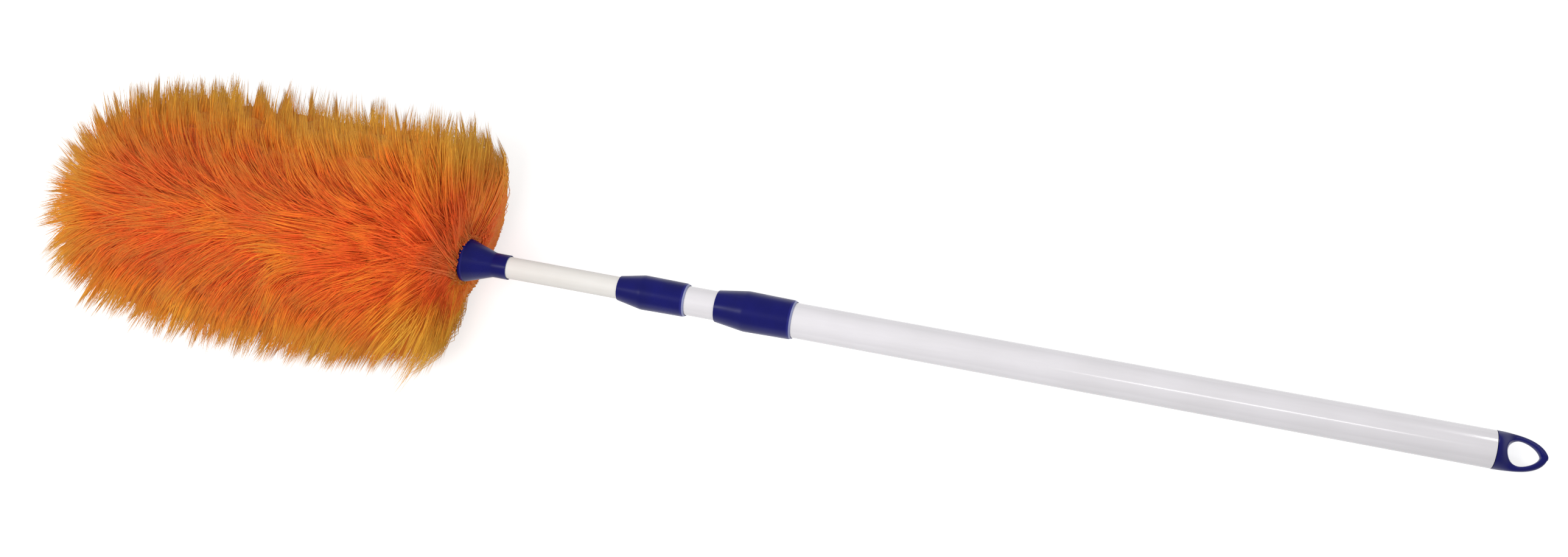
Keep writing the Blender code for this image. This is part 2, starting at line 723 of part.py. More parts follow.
def wool_pile():
    """A turned body drawn out into locks that lean towards the tip, pressed flat on the floor."""
    around = LOCKS_AROUND * POINTS_PER_LOCK
    points = pile_outline()
    chance = random.Random(PILE_SEED)
    low = 1 - LOCK_VARIATION_SHARE
    sizes = [[chance.uniform(low, 1) for _ in range(LOCKS_AROUND)] for _ in range(LOCK_ROWS)]
    bm = bmesh.new()
    rings = []
    for i in range(1, len(points) - 1):
        x, radius = points[i]
        (back_x, back_radius), (ahead_x, ahead_radius) = points[i - 1], points[i + 1]
        slope = math.atan2(back_radius - ahead_radius, back_x - ahead_x)
        side = max(math.cos(slope), 0)
        ring = []
        for j in range(around):
            rise = lock_rise(i / POINTS_PER_ROW, j / POINTS_PER_LOCK, sizes)
            rise *= min(radius / LOCK_HEIGHT / 2, 1) if x < PILE_MIDDLE_X else side
            reach = radius + LOCK_HEIGHT * rise * side
            angle = math.tau * j / around + LOCK_SWIRL * rise
            lean = x - LOCK_SWEEP * rise - rear_lean(x, radius, angle)
            ring.append(bm.verts.new((lean, reach * math.cos(angle), reach * math.sin(angle))))
        rings.append(ring)
    for first, second in zip(rings, rings[1:]):
        for j in range(around):
            k = (j + 1) % around
            bm.faces.new((first[j], first[k], second[k], second[j]))
    rear = bm.verts.new((points[0][0], 0, 0))
    front = bm.verts.new((points[-1][0] - LOCK_SWEEP / 2, 0, 0))
    for j in range(around):
        k = (j + 1) % around
        bm.faces.new((rear, rings[0][k], rings[0][j]))
        bm.faces.new((front, rings[-1][j], rings[-1][k]))
    bmesh.ops.recalc_face_normals(bm, faces=bm.faces)
    thing = place("wool_pile", finish_mesh(bm, "wool_pile"), wool)
    bore_end = CORE_FRONT_X - HIDE_THICKNESS - TACK_HEAD - 3 * SEAT_GAP
    cut(thing, bar("pile_bore", PILE_BORE, bore_end, PILE_REAR_X + OVERRUN, SMALL_SEGMENTS))
    cut(thing, floor_block())
    return smooth(thing)


def floor_block():
    """What lies below the floor under the pile."""
    bm = bmesh.new()
    bmesh.ops.create_cube(bm, size=1)
    size = Vector((PILE_REACH * 2, PILE_DIAMETER * 2, PILE_DIAMETER))
    bmesh.ops.scale(bm, vec=size, verts=bm.verts)
    bmesh.ops.translate(bm, vec=Vector((0, 0, -size.z / 2)), verts=bm.verts)
    block = place("floor_block", finish_mesh(bm, "floor_block"), None, cutter=True)
    block.parent = None
    block.location = ((PILE_MIDDLE_X - BOX_MIDDLE_X) * math.cos(TILT), 0, 0)
    return block


remove_everything()
parts = make_collection("plastic_duster")
cutters = make_collection("cutters")
pole_axis = make_pole_axis()

white = make_material("white_tube", (0.78, 0.77, 0.79), 0.28)
blue = make_material("blue_moulding", (0.025, 0.022, 0.16), 0.35)
natural = make_material("natural_moulding", (0.62, 0.61, 0.57), 0.5)
grey = make_material("core_rod", (0.35, 0.35, 0.36), 0.5)
hide = make_material("hide", (0.63, 0.45, 0.27), 0.85)
steel = make_material("tack_steel", (0.55, 0.55, 0.55), 0.35, 1.0)
wool = make_material("orange_wool", (0.68, 0.18, 0.02), 0.95)

tube("outer_tube", OUTER_OD / 2, OUTER_WALL, 0, OUTER_LENGTH)
tube("middle_tube", MIDDLE_OD / 2, MIDDLE_WALL, MIDDLE_FRONT_X, MIDDLE_REAR_X)
tube("inner_tube", INNER_OD / 2, INNER_WALL, INNER_FRONT_X, INNER_REAR_X)
collar("large_collar", 0, OUTER_OD / 2, MIDDLE_OD / 2,
       LARGE_SLEEVE, LARGE_NOSE, LARGE_REAR_OD, LARGE_RIDGE_OD, LARGE_LIP_OD)
collar("small_collar", MIDDLE_FRONT_X, MIDDLE_OD / 2, INNER_OD / 2,
       SMALL_SLEEVE, SMALL_NOSE, SMALL_REAR_OD, SMALL_RIDGE_OD, SMALL_LIP_OD)
lock_plug("large_lock_plug", MIDDLE_REAR_X, MIDDLE_OD / 2, MIDDLE_BORE,
          LARGE_PLUG_LENGTH, LARGE_RING_LENGTH, LARGE_JOURNAL_OD)
lock_ring("large_lock_ring", MIDDLE_REAR_X, OUTER_BORE, LARGE_RING_LENGTH, LARGE_JOURNAL_OD)
lock_plug("small_lock_plug", INNER_REAR_X, INNER_OD / 2, INNER_BORE,
          SMALL_PLUG_LENGTH, SMALL_RING_LENGTH, SMALL_JOURNAL_OD)
lock_ring("small_lock_ring", INNER_REAR_X, MIDDLE_BORE, SMALL_RING_LENGTH, SMALL_JOURNAL_OD)
hang_cap()
ferrule()
core = core_rod()
strip, strip_turns, strip_pitch, strip_start = fleece_strip()
disc = tip_disc()
tacks(strip, strip_turns, strip_pitch, strip_start, core, disc)
wool_pile()
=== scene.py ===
# Telescopic wool duster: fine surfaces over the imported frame, its materials, camera and light.
# Sizes are millimetres along and round the pole's axis. Along it, 0 is the front end of the outer tube,
# the wool head lies at negative distances and the hanging loop at positive ones.

import math

import bmesh
import bpy
import numpy as np
from mathutils import Matrix, Vector


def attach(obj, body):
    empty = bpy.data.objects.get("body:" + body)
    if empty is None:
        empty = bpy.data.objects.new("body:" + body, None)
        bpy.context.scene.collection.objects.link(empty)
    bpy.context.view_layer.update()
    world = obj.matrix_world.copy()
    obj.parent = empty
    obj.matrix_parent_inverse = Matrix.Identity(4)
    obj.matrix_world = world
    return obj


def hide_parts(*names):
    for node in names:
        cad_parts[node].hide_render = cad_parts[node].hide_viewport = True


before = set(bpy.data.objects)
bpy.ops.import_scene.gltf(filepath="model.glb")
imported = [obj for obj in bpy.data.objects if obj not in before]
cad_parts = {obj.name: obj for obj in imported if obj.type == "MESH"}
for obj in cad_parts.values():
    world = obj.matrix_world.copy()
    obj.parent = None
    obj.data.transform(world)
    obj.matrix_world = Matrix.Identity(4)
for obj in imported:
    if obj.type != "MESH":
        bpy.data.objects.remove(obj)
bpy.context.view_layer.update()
print("frame loaded:", len(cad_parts), "nodes")

mm = 0.001

pole = {
    "lean": 4.623023,          # degrees, head end up
    "frontEnd": (1.495, 0.0, 52.783),  # where the outer tube's front end lies
    "rim": -212.8,             # place of the ferrule's rim along the pole
    "crownTurn": 16.0,         # degrees from straight up to the side that faces the camera
}

lean = math.radians(pole["lean"])
rearward = np.array([math.cos(lean), 0.0, -math.sin(lean)])  # along the pole, towards the loop
across = np.array([0.0, 1.0, 0.0])
upright = np.array([math.sin(lean), 0.0, math.cos(lean)])
frontEnd = np.array(pole["frontEnd"])
crownTurn = math.radians(pole["crownTurn"])
crown = math.cos(crownTurn) * upright - math.sin(crownTurn) * across
farSide = math.cos(crownTurn) * across + math.sin(crownTurn) * upright


# Pole distances to world metres: frontEnd + along * rearward + side * across + height * upright.
def fromPole(along, side, height):
    along, side, height = np.broadcast_arrays(along, side, height)
    place = (frontEnd + along[..., None] * rearward + side[..., None] * across
             + height[..., None] * upright)
    return place * mm


# From 0 at low to 1 at high as 3t^2 - 2t^3, and level beyond them. With low above high it falls instead.
def smoothStep(low, high, value):
    share = np.clip((value - low) / (high - low), 0, 1)
    return share * share * (3 - 2 * share)


# meshes from arrays

# Points (n, 3) in metres, with faces given as rows of point numbers.
def meshFromArrays(name, points, quads=None, triangles=None):
    quads = np.empty((0, 4), int) if quads is None else quads
    triangles = np.empty((0, 3), int) if triangles is None else triangles
    mesh = bpy.data.meshes.new(name)
    mesh.vertices.add(len(points))
    mesh.vertices.foreach_set("co", np.asarray(points, np.float32).ravel())
    corners = np.concatenate([quads.ravel(), triangles.ravel()]).astype(np.int32)
    sizes = np.concatenate([np.full(len(quads), 4), np.full(len(triangles), 3)])
    starts = np.concatenate([[0], np.cumsum(sizes)[:-1]]).astype(np.int32)
    mesh.loops.add(len(corners))
    mesh.loops.foreach_set("vertex_index", corners)
    mesh.polygons.add(len(sizes))
    mesh.polygons.foreach_set("loop_start", starts)
    mesh.update(calc_edges=True)
    mesh.validate()
    mesh.shade_smooth()
    return mesh


# Puts a mesh, lamp or camera into the scene.
def addObject(name, data):
    thing = bpy.data.objects.new(name, data)
    bpy.context.scene.collection.objects.link(thing)
    return thing


# A finished piece: it rides on a body, gets its material and stands for the CAD nodes that are named. Its slot
# is not used.
def addPiece(name, mesh, material, body, slot, *nodes):
    thing = addObject(name, mesh)
    mesh.materials.append(material)
    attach(thing, body)
    if nodes:
        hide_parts(*nodes)
    return thing


# A number on every point, for the material to read.
def pointValue(mesh, name, values):
    layer = mesh.attributes.new(name, "FLOAT", "POINT")
    layer.data.foreach_set("value", np.asarray(values, np.float32).ravel())


# Quads of a grid whose columns go round once: (i, j), (i, j+1), (i+1, j+1), (i+1, j).
def gridFaces(rows, columns, closeRows=False):
    i = np.arange(rows if closeRows else rows - 1)[:, None]
    j = np.arange(columns)[None, :]
    nextRow, nextColumn = (i + 1) % rows, (j + 1) % columns
    quads = np.stack([i * columns + j, i * columns + nextColumn,
                      nextRow * columns + nextColumn, nextRow * columns + j], axis=-1)
    return quads.reshape(-1, 4)


# Corners (along, radius, rounding) to a smooth line: each corner B becomes the curve
# (1-t)^2 A + 2t(1-t) B + t^2 C between points A and C on its two sides, with a close point beyond each.
# Also gives how worn each point is: 1 in the middle of a rounding, less at its ends, 0 on the flats.
def roundedProfile(corners, steps=5):
    data = np.array(corners, float)
    spots = data[:, :2]
    before = np.roll(spots, 1, axis=0) - spots
    after = np.roll(spots, -1, axis=0) - spots
    reachBefore, reachAfter = np.linalg.norm(before, axis=1), np.linalg.norm(after, axis=1)
    before, after = before / reachBefore[:, None], after / reachAfter[:, None]
    size = np.minimum(data[:, 2], 0.45 * np.minimum(reachBefore, reachAfter))[:, None]
    t = np.linspace(0, 1, steps)[None, :, None]
    a, b, c = spots + size * before, spots, spots + size * after
    curve = (1 - t) ** 2 * a[:, None] + 2 * t * (1 - t) * b[:, None] + t**2 * c[:, None]
    lead = (spots + 1.1 * size * before)[:, None]
    trail = (spots + 1.1 * size * after)[:, None]
    line = np.concatenate([lead, curve, trail], axis=1)
    wearAndHighlight = np.concatenate([[0], np.sin(np.linspace(0.3, math.pi - 0.3, steps)), [0]])
    return line.reshape(-1, 2), np.tile(wearAndHighlight, len(line))


# A closed line (along, radius) turned round the axis:
# (x, r) at angle a goes to side r sin a, height r cos a.
def turnedMesh(name, line, wearAndHighlight, columns=96):
    angle = np.arange(columns) * math.tau / columns
    x = np.repeat(line[:, :1], columns, axis=1)
    r = line[:, 1:]
    points = fromPole(x, r * np.sin(angle), r * np.cos(angle)).reshape(-1, 3)
    mesh = meshFromArrays(name, points, gridFaces(len(line), columns, closeRows=True))
    pointValue(mesh, "wearAndHighlight", np.repeat(wearAndHighlight, columns))
    return mesh


# Merges points that lie on each other and turns every face outwards.
def tidyMesh(mesh, distance=1e-6):
    form = bmesh.new()
    form.from_mesh(mesh)
    bmesh.ops.remove_doubles(form, verts=form.verts, dist=distance)
    bmesh.ops.dissolve_degenerate(form, edges=form.edges, dist=distance)
    bmesh.ops.recalc_face_normals(form, faces=form.faces)
    form.to_mesh(mesh)
    form.free()
    mesh.shade_smooth()
    return mesh


# materials

# A colour written 0 to 255 as the screen shows it, as linear light.
def linear(red, green, blue):
    share = np.array([red, green, blue]) / 255
    value = np.where(share <= 0.04045, share / 12.92, ((share + 0.055) / 1.055) ** 2.4)
    return (*[float(v) for v in value], 1.0)


# Short ways to add and join the nodes of one material.
class Nodes:
    def __init__(self, name):
        self.material = bpy.data.materials.new(name)
        self.material.use_nodes = True
        self.tree = self.material.node_tree
        self.shader = self.tree.nodes["Principled BSDF"]

    # Joins an output to a socket, or sets a fixed value on it.
    def put(self, socket, value):
        if isinstance(value, bpy.types.NodeSocket):
            self.tree.links.new(value, socket)
        else:
            socket.default_value = value

    def add(self, kind, inputs=None, **settings):
        node = self.tree.nodes.new(kind)
        for key, value in settings.items():
            setattr(node, key, value)
        for key, value in (inputs or {}).items():
            self.put(node.inputs[key], value)
        return node

    def place(self):
        return self.add("ShaderNodeTexCoord").outputs["Object"]

    def attribute(self, name):
        return self.add("ShaderNodeAttribute", attribute_name=name).outputs["Fac"]

    def noise(self, where, scale, detail=2.0, roughness=0.5):
        inputs = {"Vector": where, "Scale": scale, "Detail": detail, "Roughness": roughness}
        return self.add("ShaderNodeTexNoise", inputs).outputs["Fac"]

    def span(self, value, low, high, newLow, newHigh):
        inputs = {0: value, 1: low, 2: high, 3: newLow, 4: newHigh}
        return self.add("ShaderNodeMapRange", inputs).outputs[0]

    # Colours are sockets 6 and 7 of a Mix node.
    def blend(self, share, first, second):
        return self.add("ShaderNodeMix", {0: share, 6: first, 7: second}, data_type="RGBA").outputs[2]

    def combine(self, operation, first, second):
        return self.add("ShaderNodeMath", {0: first, 1: second}, operation=operation).outputs[0]

    def finish(self, colour, roughness, height=None, bump=0.1, depth=0.0002, **fixed):
        self.put(self.shader.inputs["Base Color"], colour)
        self.put(self.shader.inputs["Roughness"], roughness)
        if height is not None:
            node = self.add("ShaderNodeBump", {"Height": height, "Strength": bump, "Distance": depth})
            self.put(self.shader.inputs["Normal"], node.outputs[0])
        for key, value in fixed.items():
            self.shader.inputs[key.replace("_", " ")].default_value = value
        return self.material


# Object coordinates turned level with the pole, and times 1 / stretch along it, which draws a pattern out.
def alongPole(nodes, stretch):
    inputs = {"Vector": nodes.place(), "Rotation": (0.0, -lean, 0.0), "Scale": (1.0 / stretch, 1.0, 1.0)}
    return nodes.add("ShaderNodeMapping", inputs).outputs[0]


tubeLook = {
    "colour": linear(222, 219, 223),
    "dullColour": linear(214, 211, 214),
    "wornColour": linear(200, 199, 204),
    "roughness": (0.10, 0.16),
    "gloss": 0.5,
}
innerTubeLook = {              # warmer and duller than the other two
    "colour": linear(223, 221, 217),
    "dullColour": linear(213, 209, 203),
    "wornColour": linear(202, 198, 194),
    "roughness": (0.34, 0.46),
    "gloss": 0.3,
}


# Extruded white plastic: faint lines drawn along it, soft clouds and fine specks.
def tubeMaterial(name, look):
    nodes = Nodes(name)
    lines = nodes.noise(alongPole(nodes, 60), 420, 3)
    place = nodes.place()
    clouds = nodes.noise(place, 26, 3)
    specks = nodes.noise(place, 2600, 1)
    wearAndHighlight = nodes.attribute("wearAndHighlight")
    dull = nodes.combine("ADD", nodes.span(clouds, 0.3, 0.7, 0, 0.55), nodes.span(lines, 0.35, 0.65, 0, 0.25))
    colour = nodes.blend(dull, look["colour"], look["dullColour"])
    colour = nodes.blend(nodes.span(wearAndHighlight, 0, 1, 0, 0.6), colour, look["wornColour"])
    low, high = look["roughness"]
    height = nodes.combine("ADD", nodes.span(lines, 0, 1, 0, 0.6), nodes.span(specks, 0, 1, 0, 0.4))
    return nodes.finish(colour, nodes.span(clouds, 0.3, 0.7, low, high), height, 0.25, 0.00004,
                        IOR=1.49, Specular_IOR_Level=look["gloss"])


blueLook = {
    "colour": linear(15, 17, 96),
    "deepColour": linear(11, 13, 84),
    "wornColour": linear(44, 46, 132),
    "bevelHighlightColour": linear(138, 142, 178),
    "roughness": (0.26, 0.36),
    "gloss": 0.2,              # a low shine, so that white surroundings don't pale the dark blue
}


# Moulded plastic: slight clouds, a fine spark-eroded grain, paler worn edges and a painted highlight on the
# bevel, paler still.
def mouldedMaterial(name, look, grain=1500):
    nodes = Nodes(name)
    place = nodes.place()
    clouds = nodes.noise(place, 60, 3)
    fine = nodes.noise(place, grain, 2)
    scuffs = nodes.noise(alongPole(nodes, 8), 260, 4, 0.65)
    wearAndHighlight = nodes.attribute("wearAndHighlight")
    colour = nodes.blend(nodes.span(clouds, 0.3, 0.7, 0, 1), look["colour"], look["deepColour"])
    colour = nodes.blend(nodes.span(scuffs, 0.62, 0.8, 0, 0.25), colour, look["wornColour"])
    colour = nodes.blend(nodes.span(wearAndHighlight, 0.1, 1, 0, 0.5), colour, look["wornColour"])
    # a painted highlight: pale blue on the collars' rear bevel, where the mark is 2
    colour = nodes.blend(nodes.span(wearAndHighlight, 1.2, 1.9, 0, 1), colour, look["bevelHighlightColour"])
    low, high = look["roughness"]
    height = nodes.combine("ADD", nodes.span(fine, 0, 1, 0, 0.7), nodes.span(scuffs, 0, 1, 0, 0.3))
    return nodes.finish(colour, nodes.span(clouds, 0.3, 0.7, low, high), height, 0.3, 0.00005,
                        IOR=1.50, Specular_IOR_Level=look["gloss"])


whiteTube = tubeMaterial("whiteTube", tubeLook)
innerWhiteTube = tubeMaterial("innerWhiteTube", innerTubeLook)
blueMoulding = mouldedMaterial("blueMoulding", blueLook)

# tubes

tubeSizes = {
    "outer_tube": {"body": "handle", "ends": (0.0, 500.0), "radius": 12.5, "wall": 1.2},
    "middle_tube": {"body": "middle_section", "ends": (-76.7, 423.6), "radius": 10.5, "wall": 1.2},
    "inner_tube": {"body": "front_section", "ends": (-189.7, 289.5), "radius": 8.0, "wall": 1.2},
}


# The closed section of a tube: back along its outer side, round the rear end and forward through the bore.
# A side longer than longSide is parted evenly into rings: A (1 - share) + B share.
def tubeLine(ends, radius, wall, edge=0.32, rings=24, longSide=50):
    front, rear = ends
    corners = [(front, radius, edge), (rear, radius, edge), (rear, radius - wall, edge),
               (front, radius - wall, edge)]
    line, wearAndHighlight = roundedProfile(corners)
    points, wear = [], []
    for k in range(len(line)):
        nextPoint = line[(k + 1) % len(line)]
        parts = rings if abs(nextPoint[0] - line[k][0]) > longSide else 1
        share = np.arange(parts)[:, None] / parts
        points.append(line[k] * (1 - share) + nextPoint * share)
        wear.append(np.where(np.arange(parts) == 0, wearAndHighlight[k], 0))
    return np.concatenate(points), np.concatenate(wear)


for name, size in tubeSizes.items():
    line, wearAndHighlight = tubeLine(size["ends"], size["radius"], size["wall"])
    material = innerWhiteTube if name == "inner_tube" else whiteTube
    mesh = turnedMesh(name, line[::-1], wearAndHighlight[::-1])
    addPiece(name + "_fine", mesh, material, size["body"], "white_tube", name)
print("tubes done")

# collars

collarSizes = {
    # lengths from the tube's front end (sleeve backwards, nose forwards), then radii
    "large_collar": {"body": "handle", "tubeEnd": 0.0, "sleeve": 37.5, "nose": 19.3,
                     "rear": 13.9, "ridge": 14.5, "lip": 11.4, "seat": 12.8, "guide": 10.75},
    "small_collar": {"body": "middle_section", "tubeEnd": -76.7, "sleeve": 35.4, "nose": 16.1,
                     "rear": 12.0, "ridge": 12.45, "lip": 8.9, "seat": 10.8, "guide": 8.25},
}
collarEdges = {"ridgeBehindEnd": 2.0, "bevelLength": 1.9, "bevelDepth": 0.85, "stopGap": 0.3}


# The closed section of a collar, as corners (along, radius, rounding): barrel, ridge and tapered nose
# outside, then the guide and the seat. Wear is 0 at the ridge and 2 on the bevel at the rear, which marks a
# painted pale highlight there.
def collarLine(size):
    end = size["tubeEnd"]
    rear, lip, ridge = end + size["sleeve"], end - size["nose"], end + collarEdges["ridgeBehindEnd"]
    stop = end - collarEdges["stopGap"]
    corners = [
        (rear, size["rear"] - collarEdges["bevelDepth"], 0.25),
        (rear - collarEdges["bevelLength"], size["rear"], 1.2),
        (ridge, size["ridge"], 1.2), (lip, size["lip"], 0.55), (lip, size["guide"], 0.25),
        (stop, size["guide"], 0.1), (stop, size["seat"], 0.1), (rear, size["seat"], 0.3),
    ]
    line, wearAndHighlight = roundedProfile(corners)
    wearAndHighlight = np.where(np.abs(line[:, 0] - ridge) < 4, 0, wearAndHighlight)
    # the rear bevel is marked 2 for its painted highlight
    bevel = (line[:, 0] > rear - 1.3) & (line[:, 1] > size["seat"] + 0.05)
    return line, np.where(bevel, 2.0, wearAndHighlight)


for name, size in collarSizes.items():
    line, wearAndHighlight = collarLine(size)
    addPiece(name + "_fine", turnedMesh(name, line, wearAndHighlight), blueMoulding, size["body"], "blue_moulding", name)
print("collars done")

# ferrule

ferruleSize = {
    "rimRadius": 15.8, "land": 2.2, "wall": 1.4,      # the land is the straight part behind the rim
    "cone": -189.7, "neckRear": -178.2, "neck": 9.0,  # where cone and neck end, and the neck's radius
    "webFront": -192.0, "webRear": -190.0, "coreHole": 6.8, "seat": 8.3,
}


# The closed section of the ferrule, as corners (along, radius, rounding): neck, cone and rim outside, then
# the hollow, the web and the seat. The corner between cone and neck isn't worn.
def ferruleLine(size):
    rim, wall = pole["rim"], size["wall"]
    corners = [
        (size["neckRear"], size["neck"], 0.5), (size["cone"], size["neck"], 1.2),
        (rim + size["land"], size["rimRadius"], 0.9), (rim, size["rimRadius"], 0.5),
        (rim, size["rimRadius"] - wall, 0.4), (rim + size["land"], size["rimRadius"] - wall, 0.5),
        (size["webFront"], size["coreHole"] + wall, 0.4), (size["webFront"], size["coreHole"], 0.1),
        (size["webRear"], size["coreHole"], 0.1), (size["webRear"], size["seat"], 0.1),
        (size["neckRear"], size["seat"], 0.3),
    ]
    line, wearAndHighlight = roundedProfile(corners)
    return line, np.where(np.abs(line[:, 0] - size["cone"]) < 4, 0, wearAndHighlight)


line, wearAndHighlight = ferruleLine(ferruleSize)
addPiece("head_ferrule_fine", turnedMesh("head_ferrule", line, wearAndHighlight), blueMoulding, "front_section",
         "blue_moulding", "head_ferrule")
print("ferrule done")

# hanging cap

capSize = {
    # shoulder: how far from the mouth the cap has thinned from the mouth's round to the loop's thickness
    "mouth": 500.3, "radius": 12.5, "length": 31.8, "thickness": 8.0, "shoulder": 12.5,
    "outlineRoundness": 2.8, "sideRoundness": 2.6,
    # the hole starts this far from the mouth, and reaches so far from its middle towards the mouth (rear),
    # towards the tip (front) and sideways
    "holeStart": 7.8, "holeRear": 7.4, "holeFront": 12.2, "holeHalfWidth": 8.2, "holeRounding": 2.0,
    "holeFrontRoundness": 1.65, "wearReach": 1.3,
    "plugLength": 22.0, "plugRadius": 11.0, "ribHeight": 0.6, "ribs": 8, "grooveShare": 0.08,
    "nubRadius": 1.2, "nubHeight": 0.7,
}


# Half the loop's width at x from the mouth: radius * (1 - (x / length)^roundness)^(1/2).
def capHalfWidth(x):
    share = np.clip(x / capSize["length"], 0, 1)
    return capSize["radius"] * np.sqrt(1 - share ** capSize["outlineRoundness"])


# Half the cap's thickness over (x, y): thick(x) * (1 - (|y| / width(x))^p)^(1/p), where thick goes from the
# mouth's radius to the loop's over the shoulder, and p from 2 to the loop's side roundness.
def capHalfHeight(x, y):
    ease = smoothStep(0, capSize["shoulder"], x)
    thick = capSize["radius"] + (capSize["thickness"] / 2 - capSize["radius"]) * ease
    power = 2 + (capSize["sideRoundness"] - 2) * ease
    width = np.maximum(capHalfWidth(x), 1e-6)
    share = np.clip(np.abs(y) / width, 0, 1)
    return thick * (1 - share**power) ** (1 / power)


# The egg-shaped hole: (middle + reach * |cos a|^k, halfWidth * |sin a|^k), with the signs of cos and sin,
# where k is 1 on the mouth's side of the middle, half an ellipse, and 2 / holeFrontRoundness on the tip's side,
# where it is slightly pointed.
def holeEdge(middle, angle):
    ahead, side = np.cos(angle), np.sin(angle)
    power = np.where(ahead > 0, 2 / capSize["holeFrontRoundness"], 1)
    reach = np.where(ahead > 0, capSize["holeFront"], -capSize["holeRear"])
    return np.stack([middle + reach * np.abs(ahead) ** power,
                     capSize["holeHalfWidth"] * np.sign(side) * np.abs(side) ** power], axis=1)


# A ring of sections round the hole. Each runs over the top from the hole's edge to the cap's outline, in steps
# of (1 - cos(pi t)) / 2 and rising as a quarter circle at the hole, and back below. The outline's point is
# where the ray from the hole's middle leaves the cap, found by halving, and for the sections at the rear a
# point of the mouth. Wear falls from the hole's edge as e^-(distance / reach)^2.
def capMesh(frontSections=150, rearSections=60, band=22):
    middle = capSize["holeStart"] + capSize["holeRear"]
    corner = math.pi - math.atan2(capSize["radius"], middle)
    front = -corner + 2 * corner * np.arange(frontSections) / frontSections
    rear = corner + 2 * (math.pi - corner) * np.arange(rearSections) / rearSections
    angle = np.concatenate([front, rear])
    inner = holeEdge(middle, angle)
    near, far = np.zeros(frontSections), np.full(frontSections, capSize["length"])
    for _ in range(40):
        half = (near + far) / 2
        x, y = middle + half * np.cos(front), half * np.sin(front)
        inside = (x >= 0) & (x < capSize["length"]) & (np.abs(y) < capHalfWidth(x))
        near, far = np.where(inside, half, near), np.where(inside, far, half)
    outerFront = np.stack([np.maximum(middle + near * np.cos(front), 0), near * np.sin(front)], axis=1)
    share = np.arange(rearSections) / rearSections
    outerRear = np.stack([share * 0, capSize["radius"] * np.cos(math.pi * share)], axis=1)
    outer = np.concatenate([outerFront, outerRear])
    step = (1 - np.cos(math.pi * np.arange(band + 1) / band)) / 2
    plan = inner[:, None] + (outer - inner)[:, None] * step[None, :, None]
    span = np.linalg.norm(outer - inner, axis=1)[:, None]
    rise = np.sqrt(1 - (1 - np.minimum(span * step / capSize["holeRounding"], 1)) ** 2)
    height = capHalfHeight(plan[..., 0], plan[..., 1]) * rise
    x = np.concatenate([plan[..., 0], plan[:, ::-1, 0]], axis=1) + capSize["mouth"]
    y = np.concatenate([plan[..., 1], plan[:, ::-1, 1]], axis=1)
    z = np.concatenate([height, -height[:, ::-1]], axis=1)
    edge = np.exp(-((step * span) / capSize["wearReach"]) ** 2) * smoothStep(0, 3, plan[..., 0])
    wearAndHighlight = np.concatenate([edge, edge[:, ::-1]], axis=1)
    rows, columns = x.shape
    points = fromPole(x, y, z).reshape(-1, 3)
    mesh = meshFromArrays("hang_cap", points, gridFaces(rows, columns, closeRows=True))
    pointValue(mesh, "wearAndHighlight", wearAndHighlight)
    return mesh


cap = tidyMesh(capMesh())
cap.set_sharp_from_angle(angle=math.radians(50))
addPiece("hang_cap_loop", cap, blueMoulding, "handle", "blue_moulding", "hang_cap")


# The plug: a solid shank of radius - ribHeight * (1 - rib), where rib is 1 on each rib and falls to 0 in the
# narrow groove between two.
def plugMesh(columns=160):
    angle = np.arange(columns) * math.tau / columns
    phase = (angle * capSize["ribs"] / math.tau) % 1
    rib = smoothStep(0, capSize["grooveShare"], 0.5 - np.abs(phase - 0.5))
    outline = capSize["plugRadius"] - capSize["ribHeight"] * (1 - rib)
    front, rear = capSize["mouth"] - capSize["plugLength"], capSize["mouth"] + 1.0
    x = np.array([front, front, front + 0.6, rear - 0.1, rear, rear])
    scale = np.array([0.0, 0.93, 1.0, 1.0, 0.99, 0.0])
    r = scale[:, None] * outline
    points = fromPole(np.repeat(x[:, None], columns, axis=1), r * np.sin(angle), r * np.cos(angle))
    mesh = meshFromArrays("hang_cap_plug", points.reshape(-1, 3), gridFaces(len(x), columns))
    pointValue(mesh, "wearAndHighlight", np.repeat(np.array([0, 0.6, 0.2, 0, 0, 0]), columns))
    tidyMesh(mesh)
    mesh.set_sharp_from_angle(angle=math.radians(40))
    return mesh


addPiece("hang_cap_plug", plugMesh(), blueMoulding, "handle", "blue_moulding", "hang_cap")
# the low nub that the mould's gate leaves at the tip
tip = capSize["mouth"] + capSize["length"]
nubRadius, nubEnd = capSize["nubRadius"], tip + capSize["nubHeight"]
nubLine = np.array([(tip - 1.5, 0), (tip - 1.5, nubRadius), (nubEnd - 0.3, nubRadius - 0.05),
                    (nubEnd - 0.05, nubRadius - 0.3), (nubEnd, 0)])
nub = tidyMesh(turnedMesh("hang_cap_gate", nubLine[::-1], np.array([0, 0, 0.4, 1, 0.6])[::-1], 24))
addPiece("hang_cap_gate", nub, blueMoulding, "handle", "blue_moulding", "hang_cap")
print("hanging cap done")

# pieces inside: better finishes for the nodes that stay

naturalLook = {
    "colour": linear(214, 212, 204), "deepColour": linear(203, 200, 190), "wornColour": linear(224, 222, 216),
    "bevelHighlightColour": linear(224, 222, 216), "roughness": (0.42, 0.55), "gloss": 0.5,
}
coreLook = {
    "colour": linear(142, 142, 144), "deepColour": linear(128, 128, 131), "wornColour": linear(160, 160, 160),
    "bevelHighlightColour": linear(160, 160, 160), "roughness": (0.45, 0.6), "gloss": 0.45,
}
naturalMoulding = mouldedMaterial("naturalMoulding", naturalLook)
coreRod = mouldedMaterial("coreRod", coreLook)


# Bright drawn steel with a few duller patches.
def tackMaterial():
    nodes = Nodes("tackSteel")
    place = nodes.place()
    patches = nodes.noise(place, 900, 3)
    colour = nodes.blend(nodes.span(patches, 0.4, 0.7, 0, 1), linear(188, 186, 182), linear(150, 146, 140))
    roughness = nodes.span(patches, 0.3, 0.7, 0.25, 0.45)
    return nodes.finish(colour, roughness, patches, 0.15, 0.00003, Metallic=1.0)


